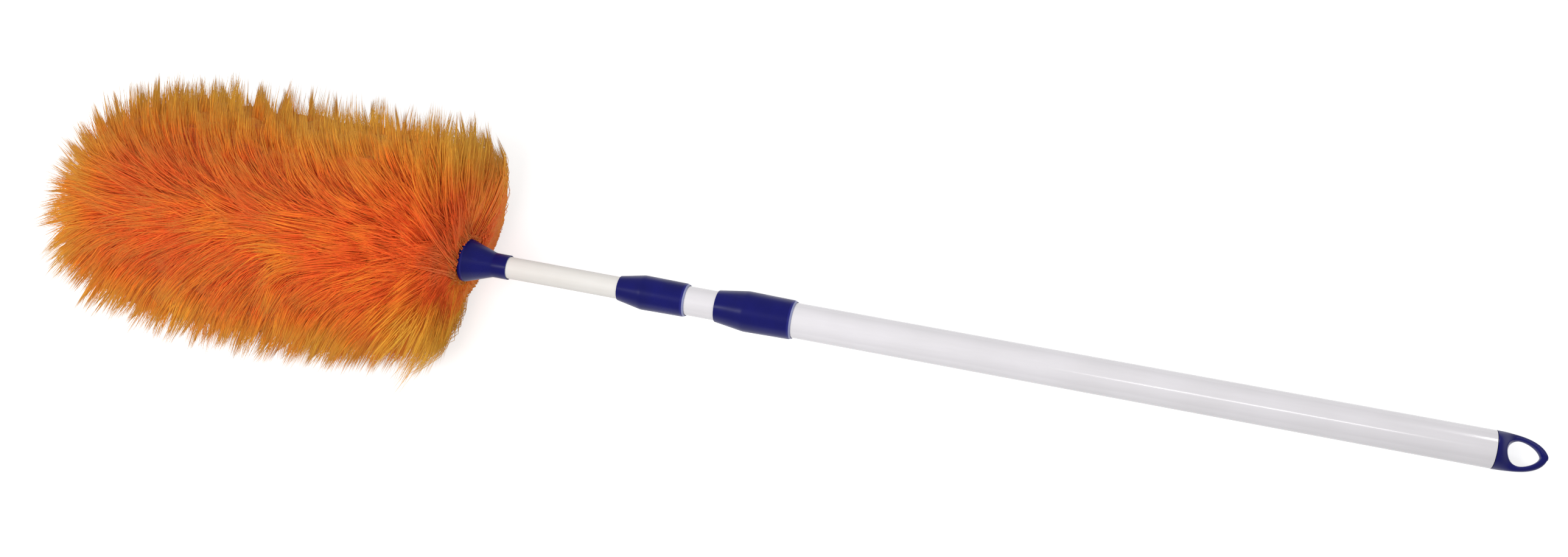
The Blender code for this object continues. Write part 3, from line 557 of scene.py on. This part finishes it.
finishes = {
    naturalMoulding: ("large_lock_plug", "small_lock_plug", "large_lock_ring", "small_lock_ring"),
    coreRod: ("head_core",),
    tackMaterial(): ("rear_tack", "front_tack", "tip_tack"),
}
for material, names in finishes.items():
    for name in names:
        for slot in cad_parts[name].material_slots:
            slot.material = material
print("inner pieces done")

# hide under the wool

hideSize = {
    "start": -208.8, "front": -494.8,    # the strip's ends along the pole
    "width": 36.0, "pitch": 37.5, "inner": 6.8, "thickness": 2.0,
    "wander": (0.35, 0.2),               # of its edges: two waves' heights
    "edge": 0.4,                         # how far the edges are rounded
    "discRadius": 8.8, "discGap": 0.3,
}


# Suede side of a fleece: mottled, with a short nap.
def hideMaterial():
    nodes = Nodes("fleeceHide")
    place = nodes.place()
    mottle, nap = nodes.noise(place, 90, 4), nodes.noise(place, 1800, 3)
    colour = nodes.blend(nodes.span(mottle, 0.3, 0.7, 0, 1), linear(206, 172, 132), linear(186, 140, 96))
    colour = nodes.blend(nodes.span(nap, 0.4, 0.75, 0, 0.5), colour, linear(196, 118, 66))
    return nodes.finish(colour, nodes.span(nap, 0.2, 0.8, 0.78, 0.95), nap, 0.6, 0.0003,
                        Sheen_Weight=0.3, Sheen_Roughness=0.5)


# A band wound round the core: the section's corners at (along, radius), turned by 2 pi per pitch, with both
# long edges wandering by the sum of two sines of the turn.
def stripMesh(rows=900):
    size = hideSize
    turns = (size["start"] - size["width"] - size["front"]) / size["pitch"]
    turn = np.linspace(0, turns, rows)
    angle = turn * math.tau
    rear = size["start"] - size["pitch"] * turn
    wander = size["wander"][0] * np.sin(7.3 * angle) + size["wander"][1] * np.sin(19.1 * angle + 1)
    low, high = size["inner"], size["inner"] + size["thickness"]
    middle = (low + high) / 2
    front = rear - size["width"]
    inset = size["edge"] * np.array([1, 0, 0, 1])
    x = np.concatenate([(rear + wander)[:, None] - inset, (front - wander)[:, None] + inset], axis=1)
    side = np.array([low, middle - size["edge"], middle + size["edge"], high])
    r = np.concatenate([side, side[::-1]])[None, :]
    points = fromPole(x, r * np.cos(angle)[:, None], r * np.sin(angle)[:, None])
    count = x.shape[1]
    faces = gridFaces(rows, count)
    middles = np.stack([points[0].mean(axis=0), points[-1].mean(axis=0)])
    j = np.arange(count)
    first, last = rows * count, rows * count + 1
    base = (rows - 1) * count
    ends = np.concatenate([np.stack([np.full(count, first), (j + 1) % count, j], axis=1),
                           np.stack([np.full(count, last), base + j, base + (j + 1) % count], axis=1)])
    mesh = meshFromArrays("fleece_strip", np.concatenate([points.reshape(-1, 3), middles]), faces, ends)
    return tidyMesh(mesh)


fleeceHide = hideMaterial()
strip = stripMesh()
strip.set_sharp_from_angle(angle=math.radians(50))
addPiece("fleece_strip_wound", strip, fleeceHide, "front_section", "hide", "fleece_strip")
discRear, discRadius, edge = hideSize["front"] - hideSize["discGap"], hideSize["discRadius"], hideSize["edge"]
discFront = discRear - hideSize["thickness"]
discLine = np.array([(discRear, 0), (discRear, discRadius - edge), (discRear - edge, discRadius),
                     (discFront + edge, discRadius), (discFront, discRadius - edge), (discFront, 0)])
disc = tidyMesh(turnedMesh("fleece_tip_disc", discLine, np.zeros(6), 64))
disc.set_sharp_from_angle(angle=math.radians(50))
addPiece("fleece_tip_patch", disc, fleeceHide, "front_section", "hide", "fleece_tip_disc")
print("hide done")

# wool pile

wool = {
    "seed": 23,
    "length": (74.0, 98.0),    # of the part that is modelled
    "strandRadius": 0.37,
    # bundles: (count, strands in each, spread at the root, spread at the tip, tip's least and greatest depth
    # below the outline, power by which the depths crowd towards the least)
    "locks": (1020, 42, 15.0, 5.5, 0.0, 13.0, 2.2),
    "fills": (440, 38, 18.0, 14.0, 3.0, 16.0, 1.0),
    "felt": (420, 36, 19.0, 19.0, 13.0, 24.0, 1.0),
    "wisps": (60, 26, 18.0, 15.0, -14.0, 0.0, 1.0),
    "thickness": {"felt": 1.9, "wisps": 0.6},  # times a strand's radius, where it isn't 1
    "wispTone": 0.4,           # how much more golden the wisps are
    "wispSteps": (0.14, 0.34),  # where thin pale wisps stand out along the outline
    "wispTurn": -96.0,         # and to which side, in degrees from the crown
    "farTurn": 92.0,           # degrees by which the combed wool turns to the far side at most
    "nearTurn": 74.0,          # and to the near side
    "shortest": 0.2,           # share of its length that the shortest strand lacks
    "curl": 3.5,
    "pieces": 10,
    "undercoatShare": 0.76,    # of the outline's radius
    "undercoatEnds": (24.0, 300.0),  # forward of the rim
    "undercoatLumps": 2.0,
    "undercoatTufts": 0.9,     # how far its points stand out or in at random
    # the undercoat's bore round the core: (forward of the rim, radius)
    "undercoatBore": ((2.5, 14.0), (3.5, 10.2), (150.0, 10.2), (285.5, 10.2), (285.9, 5.0), (285.9, 0.0)),
    "toneDepth": 44.0,         # below the outline, where the tone has fallen from gold (1) to red (0)
    "crownRed": 0.74,          # how much lower the tone is at the crown
    # painted light: a lighter, more golden far side, as on backlit fibres
    "farPaintedLight": 0.36,           # how much higher on the far side
    "tipGold": 0.12,           # and at the tip
    "nearRed": 0.22,           # how much lower near the rim on the near side
    "toneWaves": 0.13,
    # where the deep red of the roots shows: (forward of the rim, to the far side, reach, amount)
    "redSpots": ((40, 12, 30, 0.16), (182, 20, 36, 0.12)),
    # how far back a strand may come at a radius, on the far and the near side: (forward of the rim, radius)
    "farRear": ((1.5, 0), (1.5, 15.9), (-4, 17), (-9, 30), (-11, 50), (-7, 86), (-4, 104)),
    "nearRear": ((1.5, 0), (1.5, 15.9), (1, 17), (3, 36), (5, 57), (7, 77), (10, 94)),
    # the pile's outline on the far side and on the near side: (forward of the rim, radius)
    "farOutline": ((-7, 17), (-10, 45), (-6, 86), (0, 104), (22, 110), (130, 109), (215, 108), (252, 103),
                   (282, 93), (304, 74), (318, 48), (326, 22), (328, 0)),
    "nearOutline": ((0, 17), (2, 36), (5, 57), (16, 77), (46, 94), (105, 105), (180, 107), (240, 105),
                    (286, 98), (307, 84), (320, 61), (326, 27), (328, 0)),
    "underRear": 20.0,         # the rear end leans forward by this much on the side that lies on the floor
}
chance = np.random.default_rng(wool["seed"])


# A place in the wool is u forward of the rim, w towards the far side and q towards the crown. In world
# millimetres that is rim - u * rearward + w * farSide + q * crown.
def woolPlace(place):
    base = frontEnd + pole["rim"] * rearward
    return base - place[..., :1] * rearward + place[..., 1:2] * farSide + place[..., 2:] * crown


# Smooth noise, mostly from -1 to 1: the sum of sines along random directions, each about scale long, over the
# square root of their count.
def waves(seed, count, scale, *places):
    source = np.random.default_rng(seed)
    total = 0
    for _ in range(count):
        weights = source.normal(size=len(places))
        weights *= math.tau / scale * source.uniform(0.6, 1.4) / np.linalg.norm(weights)
        total = total + np.sin(sum(w * p for w, p in zip(weights, places)) + source.uniform(0, math.tau))
    return total / math.sqrt(count)


# The pile's outline at a step along it (0 at the rim, 1 at the tip) and an angle from the crown: a blend of
# the far and the near outline by (1 + sin angle) / 2. Below, where cos angle is negative, the rear end
# behind the middle of the way is set forward by up to underRear * -cos angle.
def outline(step, angle):
    far, near = np.array(wool["farOutline"], float), np.array(wool["nearOutline"], float)
    knots = np.linspace(0, 1, len(far))
    share = (1 + np.sin(angle)) / 2
    forward = np.interp(step, knots, far[:, 0]) * share + np.interp(step, knots, near[:, 0]) * (1 - share)
    radius = np.interp(step, knots, far[:, 1]) * share + np.interp(step, knots, near[:, 1]) * (1 - share)
    below = np.maximum(-np.cos(angle), 0)
    return forward + wool["underRear"] * below * smoothStep(0.5, 0.3, step) * smoothStep(0, 0.1, step), radius


# Places (u, w, q) on the outline and the unit normals there: (-dr, du sin a, du cos a) over its length, where
# du and dr are the changes in forward and in radius between two steps close by.
def onOutline(step, angle, gap=0.004):
    forward, radius = outline(step, angle)
    backU, backR = outline(np.clip(step - gap, 0, 1), angle)
    aheadU, aheadR = outline(np.clip(step + gap, 0, 1), angle)
    du, dr = aheadU - backU, aheadR - backR
    size = np.hypot(du, dr) + 1e-9
    outward, ahead = du / size, -dr / size
    sine, cosine = np.sin(angle), np.cos(angle)
    place = np.stack([forward, radius * sine, radius * cosine], axis=-1)
    normal = np.stack([ahead, outward * sine, outward * cosine], axis=-1)
    return place, normal


# Each vector over its length.
def unit(vectors):
    return vectors / (np.linalg.norm(vectors, axis=-1, keepdims=True) + 1e-9)


# Which way the wool is combed at a place. Seen from the crown it points forwards, turned to the side by
# most * sin(pi / 2 * |w| / 100)^1.2 or, where that is more, by the direction from a place just behind the rim,
# plus slow waves; below it turns less. It rises from the axis a little, and straight out at the rim, and points
# more forwards at the tip. At the crown near the rim it is blended by (q / radius)^2 into a fan, which points
# away from the place on the axis 6 mm behind the rim.
def flow(place):
    u, w, q = place[..., 0], place[..., 1], place[..., 2]
    radius = np.hypot(w, q) + 1e-6
    sideways = np.clip(np.abs(w) / 100, 0, 1)
    most = np.where(w > 0, math.radians(wool["farTurn"]), math.radians(wool["nearTurn"]))
    turn = most * np.sin(math.pi / 2 * sideways) ** 1.2
    turn = np.maximum(turn, np.arctan2(np.abs(w), 1.3 * np.maximum(u, 0) + 8))
    turn = turn * (0.25 + 0.75 * smoothStep(-50, 15, q)) + 0.16 * waves(11, 6, 120, u, w, q)
    rising = np.stack([0 * u, w / radius, q / radius], axis=-1)
    ahead = np.stack([0.8 * np.cos(turn), np.sign(w) * np.sin(turn), 0 * u], axis=-1)
    rear = smoothStep(20, 0, u + 0.15 * radius)[..., None]
    front = smoothStep(245, 340, u)[..., None]
    combed = ahead * (1 - rear) + rising * (0.30 + 0.7 * rear)
    combed = combed + front * np.array([0.5, 0, 0])
    fanned = unit(np.stack([np.maximum(u, -4) + 6, w, q], axis=-1))
    fan = (smoothStep(110, 25, u) * np.clip(q / radius, 0, 1) ** 2)[..., None]
    return unit(unit(combed) * (1 - fan) + fanned * fan)


# Spots spread over the outline: steps by the inverse of the running sum of weight * length * radius, where
# the weight is 1 but up to 3 at the rear and 2.5 at the tip, and angles by the golden angle.
def evenSpots(count, jitter):
    steps = np.linspace(0, 1, 2000)
    forward, radius = outline(steps, 0 * steps)
    length = np.hypot(np.diff(forward), np.diff(radius))
    weight = 1 + 2.0 * smoothStep(0.28, 0.2, steps[1:]) + 1.5 * smoothStep(0.84, 0.92, steps[1:])
    area = np.concatenate([[0], np.cumsum(weight * length * (radius[1:] + radius[:-1]) / 2)])
    wanted = (np.arange(count) + 0.5 + chance.uniform(-jitter, jitter, count)) / count
    step = np.interp(np.clip(wanted, 0, 1), area / area[-1], steps)
    angle = np.arange(count) * math.pi * (3 - math.sqrt(5)) + chance.uniform(-jitter, jitter, count) * 0.1
    return step, (angle + math.pi) % math.tau - math.pi


# The middle line of each bundle, from its root to its tip. It is followed backwards from the tip:
# P(k+1) = P(k) - h * unit(flow(P(k)) + dive * normal), where dive grows along the way. Near the rim it is no
# longer than the way to the core. Then it is bent sideways by a random amount * s^2, where s is 0 at the root
# and 1 at the tip.
def guideLines(step, angle, depth, points=11):
    tips, normal = onOutline(step, angle)
    tips = tips - normal * depth[:, None]
    length = chance.uniform(*wool["length"], len(step))
    fromCore = np.hypot(tips[:, 1], tips[:, 2]) - 9
    length = np.clip(length, 8, np.maximum(fromCore + 2.5 * np.maximum(tips[:, 0] + 5, 0), 8))
    h = (length / (points - 1))[:, None]
    line = [tips]
    for k in range(points - 1):
        dive = 0.05 + 0.35 * (k / (points - 1)) ** 1.5
        line.append(line[-1] - h * unit(flow(line[-1]) + dive * normal))
    line = np.stack(line[::-1], axis=1)
    bend = chance.normal(0, wool["curl"], (len(step), 1, 1)) * np.linspace(0, 1, points)[None, :, None] ** 2
    sideways = unit(np.cross(flow(tips), normal))
    return line + bend * sideways[:, None], normal, sideways


# Keeps strands before the pile's rear face and off the ferrule: each is set forward as a whole, by the most
# that one of its points needs. The face's place at a point's distance from the axis is blended from near to
# far by share = (1 + sin angle) / 2, and set forward below by underRear * -cos angle * (1 - 0.8 share).
def beforeRear(line):
    radius = np.hypot(line[..., 1], line[..., 2]) + 1e-6
    share = (1 + line[..., 1] / radius) / 2
    limit = 0
    for key, part in (("farRear", share), ("nearRear", 1 - share)):
        knots = np.array(wool[key], float)
        limit = limit + part * np.interp(radius, knots[:, 1], knots[:, 0])
    below = np.maximum(-line[..., 2] / radius, 0) * (1 - 0.8 * share)
    limit = limit + wool["underRear"] * below * smoothStep(17, 45, radius)
    line[..., 0] += np.maximum(limit - line[..., 0], 0).max(axis=1, keepdims=True)
    return line


# Strands of bundles whose tips lie at (step, angle, depth): the guide line plus an offset in a flattened
# disc, whose size goes from the root's spread to the tip's as (1 - s)^0.8. A bundle's tip is 0.55 to 1.7
# times as loose as the rest's. On bundles shorter than 75 mm the root's spread shrinks with the length, and
# the tip's with its square root. Short strands end part of the way along.
def strandLines(step, angle, depth, perBundle, rootSpread, tipSpread, knots=5):
    guide, normal, sideways = guideLines(step, angle, depth)
    points = guide.shape[1]
    count = len(step)
    total = count * perBundle
    owner = np.repeat(np.arange(count), perBundle)
    turn = chance.uniform(0, math.tau, total)
    reach = np.sqrt(chance.uniform(0, 1, total))
    short = 1 - wool["shortest"] * chance.uniform(0, 1, total) ** 2
    s = np.linspace(0, 1, knots)[None, :] * short[:, None]
    spot = s * (points - 1)
    low = np.clip(np.floor(spot).astype(int), 0, points - 2)
    share = (spot - low)[..., None]
    line = guide[owner[:, None], low] * (1 - share) + guide[owner[:, None], low + 1] * share
    size = np.clip(np.linalg.norm(guide[:, -1] - guide[:, 0], axis=1) / 75, 0.2, 1)[owner][:, None]
    loose = tipSpread * chance.uniform(0.55, 1.7, count)[owner][:, None] * size**0.5
    rootSpread = rootSpread * size
    spread = loose + (rootSpread - loose) * (1 - s) ** 0.8
    wide = sideways[owner][:, None] * (spread * (np.cos(turn) * reach)[:, None])[..., None]
    deep = normal[owner][:, None] * (spread * 0.55 * (np.sin(turn) * reach)[:, None])[..., None]
    phase = chance.uniform(0, math.tau, (total, 1))
    wobble = 0.7 * np.sin(phase + s * 9) * s
    line = beforeRear(line + wide + deep + sideways[owner][:, None] * wobble[..., None])
    return line, owner, angle[owner]


# World millimetres held over the floor: up to reach, where it is about z again, z becomes
# (z + sqrt(z^2 + soft^2)) / 2 - soft^2 / (4 reach).
def pressed(points, soft=7.0, reach=30, gap=0.6):
    z = points[..., 2] - gap
    held = (z + np.sqrt(z * z + soft * soft)) / 2 - soft * soft / (4 * reach)
    points = points.copy()
    points[..., 2] = np.where(z < reach, held, z) + gap
    return points


# How far a point is from the red-orange root colour (0) to the gold of the tips (1). It is
# 1.02 - depth / toneDepth, with the depth below the outline, less crownRed * (q / radius)^3, which is eased
# next to the rim as painted light on the shade between strands, and the red spots, amount * e^-(distance /
# reach)^2 each. It is more at the tip and on the far side, where the lighter gold is painted backlight, less
# near the rim on the near side, and has waves and the bundle's own difference added.
def woolTone(line, bundle):
    u, w, q = line[..., 0], line[..., 1], line[..., 2]
    radius = np.hypot(w, q)
    angle = np.arctan2(w, q)
    steps = np.linspace(0.25, 1, 400)
    forward, around = outline(steps[None, :], np.array([[-math.pi / 2], [math.pi / 2]]))
    limit = np.interp(u, forward[0], around[0]) * (1 - np.sin(angle)) / 2
    limit = limit + np.interp(u, forward[1], around[1]) * (1 + np.sin(angle)) / 2
    depth = np.clip(np.minimum(limit - radius, (329 - u) * 0.8), -10, 40)
    tone = 1.02 - depth / wool["toneDepth"]
    facing = np.maximum(q, 0) / (radius + 1e-6)
    # next to the rim the crown's red is eased by up to 0.3, a lighter tone that paints over the shade between
    # the strands
    redder = wool["crownRed"] * facing**3 * smoothStep(295, 230, u) * (1 - 0.3 * smoothStep(22, -4, u))
    for spotU, spotW, reach, amount in wool["redSpots"]:
        redder = redder + amount * np.exp(-((u - spotU) ** 2 + (w - spotW) ** 2) / reach**2)
    # the far side's added tone is painted light, the lighter gold of backlit fibres
    tone = tone - redder + wool["farPaintedLight"] * smoothStep(35, 80, w) + wool["tipGold"] * smoothStep(250, 300, u)
    tone = tone - wool["nearRed"] * smoothStep(110, 30, u) * smoothStep(-20, -70, w)
    tone = tone + wool["toneWaves"] * waves(5, 6, 55, u, w, q) + bundle
    return np.clip(tone, 0, 1)


# Three-sided strands that taper to a point. The ring at knot k is P + r(k) (cos a * e1 + sin a * e2),
# r(k) = radius * (1 - 0.75 (k / last)^3), with e1 and e2 square to the strand.
def strandMesh(name, line, tone, radius):
    count, knots = line.shape[:2]
    along = unit(np.gradient(line, axis=1))
    guess = np.broadcast_to(np.array([0.31, 0.22, 0.92]), along.shape)
    first = unit(np.cross(along, guess))
    second = np.cross(along, first)
    share = np.linspace(0, 1, knots)[None, :-1, None, None]
    size = radius[:, None, None, None] * (1 - share**3 * 0.75)
    angle = (np.arange(3) * math.tau / 3)[None, None, :, None]
    around = np.cos(angle) * first[:, :-1, None] + np.sin(angle) * second[:, :-1, None]
    rings = (line[:, :-1, None] + size * around).reshape(count, -1, 3)
    points = np.concatenate([rings, line[:, -1:]], axis=1)
    world = pressed(woolPlace(points)) * mm
    tones = np.concatenate([np.repeat(tone[:, :-1], 3, axis=1), tone[:, -1:]], axis=1)
    perStrand = points.shape[1]
    k = np.arange(knots - 2)[:, None]
    j = np.arange(3)[None, :]
    n = (j + 1) % 3
    quads = np.stack([k * 3 + j, k * 3 + n, k * 3 + 3 + n, k * 3 + 3 + j], axis=-1).reshape(-1, 4)
    top = (knots - 2) * 3
    spikes = np.stack([top + j[0], top + n[0], np.full(3, perStrand - 1)], axis=-1)
    triangles = np.concatenate([spikes, [[2, 1, 0]]])
    shift = (np.arange(count) * perStrand)[:, None, None]
    mesh = meshFromArrays(name, world.reshape(-1, 3), (quads[None] + shift).reshape(-1, 4),
                          (triangles[None] + shift).reshape(-1, 3))
    pointValue(mesh, "tone", tones)
    strandMap(mesh, count, knots)
    return mesh


# Rows (x, y) from two arrays that fit each other.
def joined(x, y):
    return np.stack(np.broadcast_arrays(x, y), axis=-1).reshape(-1, 2)


# A map with one small cell for each strand: its three sides across the cell, its length up it, and the root's
# face at the cell's foot. The corners follow the order of strandMesh's faces.
def strandMap(mesh, count, knots):
    cells = math.ceil(math.sqrt(count))
    up = np.linspace(0.16, 0.94, knots)
    left = 0.06 + 0.29 * np.arange(3)[:, None]
    right = 0.06 + 0.29 * np.arange(1, 4)[:, None]
    low, high = up[:-2, None, None], up[1:-1, None, None]
    quads = joined(np.concatenate([left, right, right, left], axis=1),
                   np.concatenate([low, low, high, high], axis=2))
    spikes = joined(np.concatenate([left, right, (left + right) / 2], axis=1), up[[-2, -2, -1]])
    root = np.array([(0.9, 0.02), (0.5, 0.12), (0.1, 0.02)])
    cell = np.arange(count)
    corner = np.stack([cell % cells, cell // cells], axis=-1)[:, None, :]
    sides = (corner + quads[None]) / cells
    ends = (corner + np.concatenate([spikes, root])[None]) / cells
    layer = mesh.uv_layers.new(name="OFBake")
    layer.data.foreach_set("uv", np.concatenate([sides.reshape(-1), ends.reshape(-1)]).astype(np.float32))


strandLook = {
    "deep": linear(246, 98, 40), "roots": linear(252, 128, 42),
    "middles": linear(252, 156, 46), "tips": linear(248, 190, 66), "grain": 0,
}
# The felt's colours are darker than the strands': painted shade of the pile's depth between the locks.
feltPaintedShadeLook = {
    "deep": linear(204, 66, 26), "roots": linear(228, 96, 32),
    "middles": linear(234, 130, 40), "tips": linear(236, 164, 60), "grain": 0.3,
}


# Dyed wool: red-orange roots to golden tips by the tone of each point, with uneven dye. Felted wool is also
# grainy, like cut fibres seen from their ends.
def woolMaterial(name, look):
    nodes = Nodes(name)
    place = nodes.place()
    tone = nodes.attribute("tone")
    uneven = nodes.noise(place, 320, 3)
    share = nodes.combine("ADD", tone, nodes.span(uneven, 0.25, 0.75, -0.12, 0.12))
    height = None
    if look["grain"]:
        height = nodes.noise(place, 1300, 3, 0.7)
        share = nodes.combine("ADD", share, nodes.span(height, 0.3, 0.7, -look["grain"], look["grain"]))
    ramp = nodes.add("ShaderNodeValToRGB", {"Fac": share})
    stops = ramp.color_ramp.elements
    stops[0].color, stops[1].color = look["deep"], look["tips"]
    for position, key in ((0.22, "roots"), (0.55, "middles")):
        stops.new(position).color = look[key]
    return nodes.finish(ramp.outputs["Color"], 0.62, height, 1.0, 0.0012, Specular_IOR_Level=0.25,
                        Sheen_Weight=0.6, Sheen_Roughness=0.45, Sheen_Tint=linear(255, 176, 90))


orangeWool = woolMaterial("orangeWool", strandLook)
feltPaintedShade = woolMaterial("feltPaintedShade", feltPaintedShadeLook)


# The felted pile below the strands, in darker colours that paint the shade deep in the pile: the outline with
# its radius times a share and its length drawn in to the undercoat's ends, moved along its normals by waves
# and random tufts, then back through the bore round the core, so that the skin is closed.
def undercoatMesh(rows=210, columns=330, firstStep=0.035):
    step = np.linspace(firstStep, 1, rows)[:, None]
    angle = (np.arange(columns) * math.tau / columns)[None, :]
    place, normal = onOutline(step + 0 * angle, angle + 0 * step)
    rear, front = wool["undercoatEnds"]
    lowest, highest = wool["farOutline"][1][0], wool["farOutline"][-1][0]
    lumps = wool["undercoatLumps"] * waves(8, 7, 26, place[..., 0], place[..., 1], place[..., 2])
    place[..., 0] = rear + (place[..., 0] - lowest) * (front - rear) / (highest - lowest)
    place[..., 1:] = place[..., 1:] * wool["undercoatShare"]
    tufts = wool["undercoatTufts"] * np.random.default_rng(31).normal(size=(rows, columns))
    lift = (lumps + tufts) * smoothStep(0, 0.2, step) * smoothStep(1, 0.93, step)
    place = place + normal * lift[..., None]
    place[-1] = place[-1].mean(axis=0)
    forward, radius = np.array(wool["undercoatBore"]).T[..., None]
    bore = np.stack([forward + 0 * angle, radius * np.sin(angle), radius * np.cos(angle)], axis=-1)
    skin = np.concatenate([bore[::-1], place])
    world = pressed(woolPlace(skin)) * mm
    mesh = meshFromArrays("wool_undercoat", world.reshape(-1, 3), gridFaces(len(skin), columns))
    pointValue(mesh, "tone", woolTone(skin, 0.1 * waves(9, 6, 18, skin[..., 0], skin[..., 1], skin[..., 2])))
    return tidyMesh(mesh)


addPiece("wool_undercoat", undercoatMesh(), feltPaintedShade, "front_section", "orange_wool", "wool_pile")
print("undercoat done")

groups = []
for kind in ("locks", "fills", "felt", "wisps"):
    count, perBundle, rootSpread, tipSpread, least, greatest, power = wool[kind]
    if kind == "wisps":
        step = chance.uniform(*wool["wispSteps"], count)
        angle = math.radians(wool["wispTurn"]) + chance.normal(0, 0.35, count)
    else:
        step, angle = evenSpots(count, 0.5)
    depth = least + (greatest - least) * chance.uniform(0, 1, count) ** power
    line, owner, angle = strandLines(step, angle, depth, perBundle, rootSpread, tipSpread)
    bundle = 0.10 * chance.normal(0, 1, count)[owner] + 0.06 * chance.normal(0, 1, len(line))
    radius = wool["strandRadius"] * chance.uniform(0.75, 1.25, len(line))
    if kind == "wisps":
        bundle = bundle + wool["wispTone"]
    groups.append((line, angle, bundle, radius * wool["thickness"].get(kind, 1)))
line, angle, bundle, radius = (np.concatenate(parts) for parts in zip(*groups))
print("strands:", len(line))
order = np.argsort(angle, kind="stable")
for k, chosen in enumerate(np.array_split(order, wool["pieces"])):
    name = f"wool_{k + 1}"
    tone = woolTone(line[chosen], bundle[chosen][:, None])
    mesh = strandMesh(name, line[chosen], tone, radius[chosen])
    addPiece(name, mesh, orangeWool, "front_section", "orange_wool", "wool_pile")
print("wool done")

# floor, light and camera

studio = {
    "floor": linear(206, 206, 206),
    "floorGlow": 0.62,
    "worldStrength": 0.58,
    "lampTargets": (-400, 500),  # lamps face the pole between these places
    # lamps: (along the pole, degrees from the crown to the far side, distance, length along the pole, width,
    # watts, whether gloss shows it)
    "lamps": {
        "lampByCamera": (420, 0, 1180, 420, 120, 1.4, True),
        "lampFarRight": (800, 60, 1200, 130, 280, 2.9, True),
        "lampPastWool": (-700, -5, 1100, 260, 260, 2.2, True),
        "lampOverWool": (-215, -5, 950, 450, 450, 4.2, False),
    },
}


# Pale floor. What the camera and gloss see is lifted a little, so that it is white where no shadow falls.
def floorMaterial():
    nodes = Nodes("paleFloor")
    path = nodes.add("ShaderNodeLightPath").outputs
    seen = nodes.combine("MAXIMUM", path["Is Camera Ray"], path["Is Glossy Ray"])
    seen = nodes.combine("MAXIMUM", seen, path["Is Transmission Ray"])
    glow = nodes.combine("MULTIPLY", seen, studio["floorGlow"])
    nodes.put(nodes.shader.inputs["Emission Strength"], glow)
    return nodes.finish(studio["floor"], 0.95, Specular_IOR_Level=0.1, Emission_Color=(1, 1, 1, 1))


# A flat square grid at the floor's height.
def addFloor(half=6.0, height=-0.0012, lines=9):
    x, y = np.meshgrid(np.linspace(-half, half, lines), np.linspace(-half, half, lines), indexing="ij")
    points = np.stack([x, y, np.full_like(x, height)], axis=-1).reshape(-1, 3)
    i, j = np.meshgrid(np.arange(lines - 1), np.arange(lines - 1), indexing="ij")
    first = i * lines + j
    quads = np.stack([first, first + lines, first + lines + 1, first + 1], axis=-1).reshape(-1, 4)
    mesh = meshFromArrays("floor", points, quads)
    mesh.materials.append(floorMaterial())
    addObject("floor", mesh)


def addWorld():
    world = bpy.data.worlds.new("studioLight")
    world.use_nodes = True
    background = world.node_tree.nodes["Background"]
    background.inputs["Color"].default_value = (1.0, 1.0, 1.0, 1.0)
    background.inputs["Strength"].default_value = studio["worldStrength"]
    bpy.context.scene.world = world


# Stands a thing at a place in millimetres, with its own x, y and z along three directions.
def stand(thing, place, x, y, z):
    turn = Matrix([[x[i], y[i], z[i]] for i in range(3)])
    thing.matrix_world = Matrix.Translation(Vector(place * mm)) @ turn.to_4x4()


# Oblong lamps round the pole, each facing it and with its length along it.
def addLamps():
    for name, (along, turn, distance, length, width, watts, shines) in studio["lamps"].items():
        turn = math.radians(turn)
        target = frontEnd + np.clip(along, *studio["lampTargets"]) * rearward
        place = frontEnd + along * rearward + distance * (math.cos(turn) * crown + math.sin(turn) * farSide)
        back = unit(place - target)
        side = unit(np.cross(back, rearward))
        ahead = np.cross(side, back)
        lamp = bpy.data.lights.new(name, "AREA")
        lamp.shape = "RECTANGLE"
        lamp.size, lamp.size_y = length * mm, width * mm
        lamp.energy = watts
        thing = addObject(name, lamp)
        thing.visible_glossy = shines
        stand(thing, place, ahead, side, back)


shot = {
    "frameWidth": 2576,        # pixels
    "focal": 2700.0,           # pixels
    "axisSpot": 29.6,          # place on the pole that lies straight below the frame's middle
    "distance": 1150.0,        # to that place, along the view
    "below": 65.5,             # pixels from the frame's middle down to that place
    "nearer": 12.7,            # degrees by which the loop's end comes towards the camera
    "slope": 10.15,            # degrees by which the pole falls to the right
}


# The view direction leans from the crown by the angle nearer. The frame is turned so that the pole falls by
# its slope, and the camera stands back from the axis spot.
def addCamera():
    near, slope = math.radians(shot["nearer"]), math.radians(shot["slope"])
    back = math.sin(near) * rearward + math.cos(near) * crown
    level = (rearward - math.sin(near) * back) / math.cos(near)
    ahead = -back
    dropped = np.cross(ahead, level)
    right = math.cos(slope) * level - math.sin(slope) * dropped
    down = math.sin(slope) * level + math.cos(slope) * dropped
    spot = frontEnd + shot["axisSpot"] * rearward
    place = spot - down * shot["below"] / shot["focal"] * shot["distance"] - ahead * shot["distance"]
    camera = bpy.data.cameras.new("camera")
    camera.sensor_width = 36.0
    camera.lens = camera.sensor_width * shot["focal"] / shot["frameWidth"]
    thing = addObject("camera", camera)
    stand(thing, place, right, -down, back)
    bpy.context.scene.camera = thing


addFloor()
addWorld()
addLamps()
addCamera()
bpy.context.scene.view_settings.view_transform = "Standard"
print("studio done")
